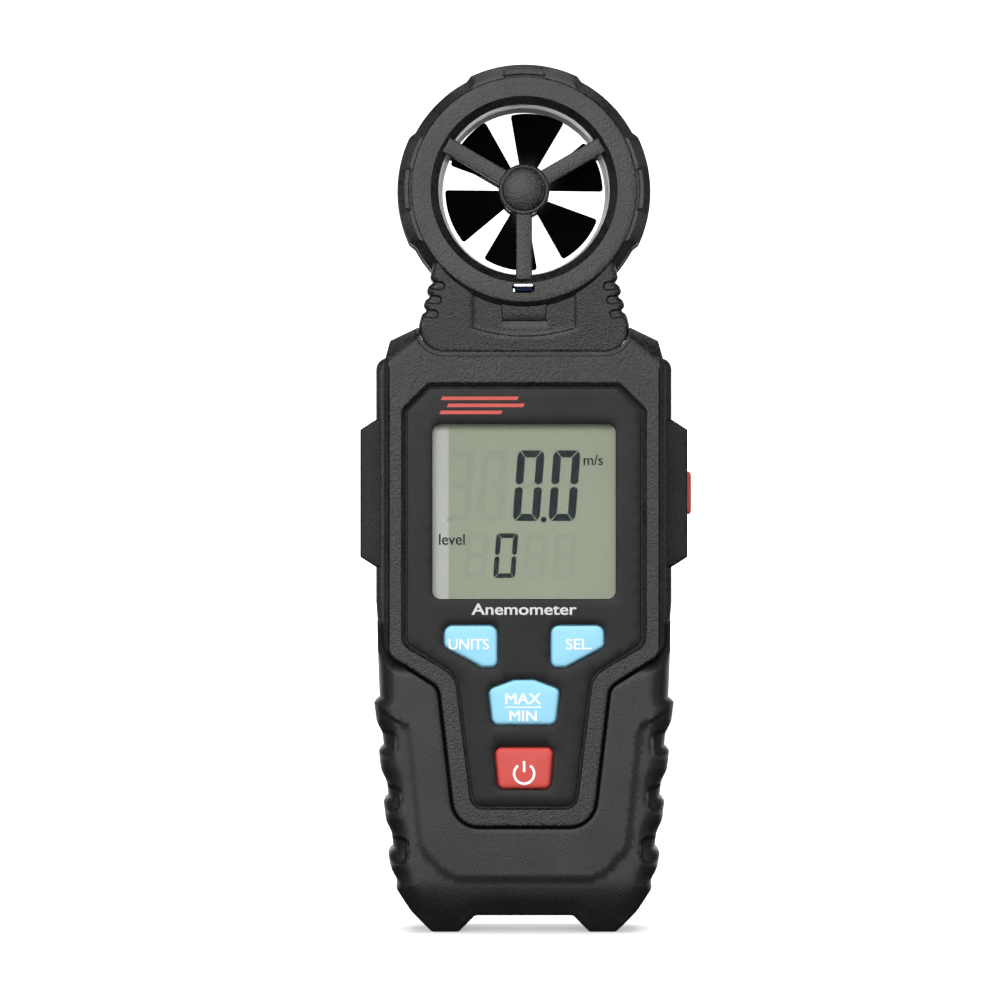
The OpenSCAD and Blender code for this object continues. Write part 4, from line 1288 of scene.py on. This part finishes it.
def build_body():
    piece("case_front", [front_shell()], SHELL, replaces=["front_shell"])
    piece("boot_front", [front_grip()], BOOT, replaces=["front_grip"], sharp=40)
    piece("case_rear", [rear_shell()], SHELL, replaces=["rear_shell"])
    piece("boot_rear", [rear_grip()], BOOT, replaces=["rear_grip"], sharp=40)
    piece("panel_plate", [front_panel()], PANEL, replaces=["front_panel"])
    for sign, side in ((-1, "left"), (1, "right")):
        piece("pad_" + side, [side_pad(sign)], PAD, replaces=["side_pad_" + side])
    for name, (corners, stem, material, slot, body) in KEYS.items():
        piece(name + "_cap", key(corners, stem), material, body, [name])
    piece("side_key_cap", side_key(), SIDE_RED, "light_key", ["side_key"])
    piece("door_plate", [battery_door()], SHELL, "door", ["battery_door"])


def build_head():
    piece("head_housing_front", [head_front()] + neck_front(), HEAD,
          replaces=["head_front"])
    piece("head_housing_rear", head_rear(), HEAD, replaces=["head_rear"])
    piece("spider_front", front_bezel(), HEAD, replaces=["front_bezel"])
    piece("sensor_rim", sensor_lip(), SOCKET_RIM)
    piece("duct_end", [duct_end()], DUCT)
    piece("hub_cap_front", [hub_cap()], HEAD, replaces=["hub_cap"])
    piece("spider_rear", rear_bezel(), HEAD, replaces=["rear_bezel"])
    piece("vane_wheel", impeller(), BLADE, "vane", ["impeller"])


def build_print():
    build_display()
    # Body, name, text, middle, height, and how bold and wide it is
    for body, *word in (("units_key", "legend_units", "UNITS", (-11.0, 57.65), 2.1, 0.045, 0.98),
                        ("select_key", "legend_select", "SEL.", (10.9, 57.65), 2.1, 0.045, 1.08),
                        ("maxmin_key", "legend_max", "MAX", (-0.2, 46.8), 2.1, 0.06, 1.1),
                        ("maxmin_key", "legend_min", "MIN", (-0.2, 43.4), 2.0, 0.06, 1.1)):
        lettering(*word, PRINT_TOP, WHITE, "frame_white", body)
    bar = plate(box_line(-0.2, 45.1, 3.6, 0.12, 0.05, arc=2), PRINT_TOP, 0.05)
    piece("legend_bar", [bar], WHITE, "maxmin_key")
    piece("legend_power", power_symbol(), WHITE, "power_key")
    lettering("panel_word", "Anemometer", (0.0, 64.6), 2.2, 0.06, 1.21, Y_PANEL - 0.02,
              PALE_PRINT, "frame_white")
    piece("panel_mark", wind_mark(), RED_PRINT)


def build_materials():
    """Materials of the CAD pieces that stay on show."""
    # CAD node, material name, colour, roughness, grain, bump height and mottle
    plastics = [
        ("display_frame", "frame_white_plastic", (0.74, 0.74, 0.71), 0.5, 0.4, 0.01, 0.05),
        ("backlight", "light_guide_plastic", (0.8, 0.8, 0.74), 0.3, 0.4, 0.004, 0.04),
        ("contact_strip", "zebra_strip_rubber", (0.5, 0.16, 0.24), 0.6, 0.3, 0.01, 0.2),
        ("board_chips", "chip_epoxy", (0.012, 0.012, 0.013), 0.45, 0.2, 0.01, 0.2),
        ("buzzer", "buzzer_plastic", (0.01, 0.01, 0.011), 0.4, 0.3, 0.01, 0.2),
        ("hall_sensor", "sensor_epoxy", (0.011, 0.011, 0.012), 0.4, 0.2, 0.01, 0.2),
        ("key_switches", "switch_plastic", (0.42, 0.42, 0.38), 0.4, 0.3, 0.01, 0.1),
        ("side_switch", "side_switch_plastic", (0.42, 0.42, 0.38), 0.4, 0.3, 0.01, 0.1),
        ("air_sensor", "sensor_blue_epoxy", (0.002, 0.006, 0.028), 0.35, 0.2, 0.004, 0.3, 0.04),
        ("head_cable", "cable_vinyl", (0.55, 0.55, 0.52), 0.5, 0.3, 0.01, 0.1),
        ("cable_plug", "plug_nylon", (0.72, 0.71, 0.64), 0.45, 0.3, 0.01, 0.06),
    ]
    metals = [
        ("impeller_shaft", "shaft_steel", (0.62, 0.63, 0.65), 0.2, (1, 5, 1)),
        ("pickup_magnet", "magnet_nickel", (0.4, 0.4, 0.42), 0.35),
        ("front_bearing", "bush_brass", (0.62, 0.42, 0.16), 0.3),
        ("rear_bearing", "rear_bush_brass", (0.62, 0.42, 0.16), 0.3),
    ]
    metals += [(f"cell_{k}", f"cell_jacket_{k}", (0.42, 0.44, 0.47), 0.3, (1, 1, 0.05))
               for k in (1, 2, 3)]
    looks = {node: moulded(*finish) for node, *finish in plastics}
    looks.update((node, metal(*finish)) for node, *finish in metals)
    looks["display_window"] = clear_pane("window_pane")
    looks["display_cell"] = lcd_glass("display_reflector_painted_light")
    looks["duct_liner"] = DUCT
    steel = metal("zinc_screw_steel", (0.55, 0.56, 0.58), 0.35)
    spring = metal("nickel_contact", (0.68, 0.66, 0.6), 0.28, (1, 1, 6))
    board = circuit_board("board_laminate")
    shared = {steel: ("board_screws", "case_screws", "door_screw", "head_screws"),
              spring: ("contact_springs", "contact_plates"),
              board: ("main_board", "side_board", "sensor_board")}
    looks.update((node, material) for material, nodes in shared.items() for node in nodes)
    for node, material in looks.items():
        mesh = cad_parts[node].data
        mesh.materials.clear()
        mesh.materials.append(material)


def stage_material(name, glow):
    """Pale paper that glows a little, so that it stays white away from the lights."""
    colour = (0.8, 0.8, 0.8)
    look = Look(name, 0.7, Specular_IOR_Level=0.1)
    look.colours(look.noise(180.0, 2.0), tint(colour, -0.01), tint(colour, 0.01))
    look.shader.inputs["Emission Color"].default_value = (1, 1, 1, 1)
    look.shader.inputs["Emission Strength"].default_value = glow
    return look.material


def stage_piece(name, verts, faces, glow):
    """A piece of the studio. It isn't reflected and throws no light on the object."""
    mesh = bpy.data.meshes.new(name)
    mesh.from_pydata(verts, [], faces)
    mesh.shade_smooth()
    mesh.materials.append(stage_material(name + "_paper", glow))
    obj = in_scene(name, mesh)
    obj.visible_glossy = False
    obj.visible_diffuse = False


def build_stage():
    """A round pale floor that curves up into a pale wall well outside every camera, in metres."""
    around, floor_rows = 72, 3
    rows = [(0.3, 0.0), (0.8, 0.0), (1.3, 0.0), (1.8, 0.0)]
    rows += [(1.8 + 0.6 * math.sin(t), 0.6 - 0.6 * math.cos(t))
             for t in np.radians(np.arange(10, 91, 10))]
    rows += [(2.4, 1.3), (2.4, 2.8)]
    turns = np.linspace(0, 2 * math.pi, around, False)

    def bowl(rows, middle):
        """Rings joined by faces; middle is 1 where a corner in the middle closes them, or 0."""
        verts = [(r * math.cos(t), r * math.sin(t), z) for r, z in rows for t in turns]
        faces = []
        for i in range(around):
            k = (i + 1) % around
            faces += [(0, middle + i, middle + k)] * middle
            for j in range(len(rows) - 1):
                a = middle + j * around
                faces.append((a + i, a + around + i, a + around + k, a + k))
        return [(0, 0, 0)] * middle + verts, faces

    stage_piece("studio_floor", *bowl(rows[:floor_rows], 1), 0.4)
    stage_piece("studio_wall", *bowl(rows[floor_rows - 1:], 0), 1.05)


def area_light(name, place, aim, size, power, glossy=True):
    """A soft rectangular light; without glossy it lights the object but isn't reflected in it."""
    light = bpy.data.lights.new(name, "AREA")
    light.shape = "RECTANGLE"
    light.size, light.size_y = size
    light.energy = power
    obj = in_scene(name, light)
    obj.location = place
    aim = Vector(aim) - Vector(place)
    obj.rotation_euler = aim.to_track_quat("-Z", "Y").to_euler()
    obj.visible_camera = False
    obj.visible_glossy = glossy


def build_light():
    """One large softbox in front as in the photo, and weaker panels that model the other sides."""
    middle = (0, 0, 0.09)
    area_light("softbox_front", (-0.3, -1.8, 0.56), (-0.3, 0, 0.56), (1.5, 1.4), 38)
    area_light("backdrop_light", (0, 2.2, 0.5), (0, 0, 0.5), (2.2, 1.8), 24)
    area_light("low_panel_back", (0, 1.0, 0.02), (0, 1.0, 1.0), (1.8, 1.2), 9)
    area_light("high_panel_back", (0, 0.85, 1.75), middle, (1.6, 1.1), 8)
    for side in (-1, 1):
        area_light("side_panel", (1.5 * side, -0.85, 0.3), middle, (0.8, 1.0), 3)
        area_light("low_panel_side", (side, 0.1, 0.02), (side, 0.1, 1.0), (1.0, 1.3), 2)
        area_light("rim_panel", (1.15 * side, 1.35, 0.3), middle, (0.8, 1.0), 5)
    area_light("fill_front", (0, -1.7, 0.7), middle, (1.6, 1.2), 8, glossy=False)
    area_light("softbox_top", (0, 0.1, 1.9), middle, (1.6, 1.6), 36, glossy=False)
    world = bpy.data.worlds.new("studio_air")
    world.use_nodes = True
    background = world.node_tree.nodes["Background"]
    background.inputs["Color"].default_value = (1, 1, 1, 1)
    background.inputs["Strength"].default_value = 0.07
    bpy.context.scene.world = world
    bpy.context.scene.view_settings.view_transform = "Standard"


def build_camera():
    """Level, as in the photo, and a little over a metre away."""
    data = bpy.data.cameras.new("camera")
    data.lens = 226.2
    data.sensor_width = 36
    data.clip_start, data.clip_end = 0.05, 20
    obj = in_scene("camera", data)
    obj.location = (-0.0048, -1.2665, 0.08635)
    obj.rotation_euler = (math.radians(90), 0, 0)
    bpy.context.scene.camera = obj


build_camera()
build_stage()
build_light()
build_materials()
build_body()
build_head()
build_print()
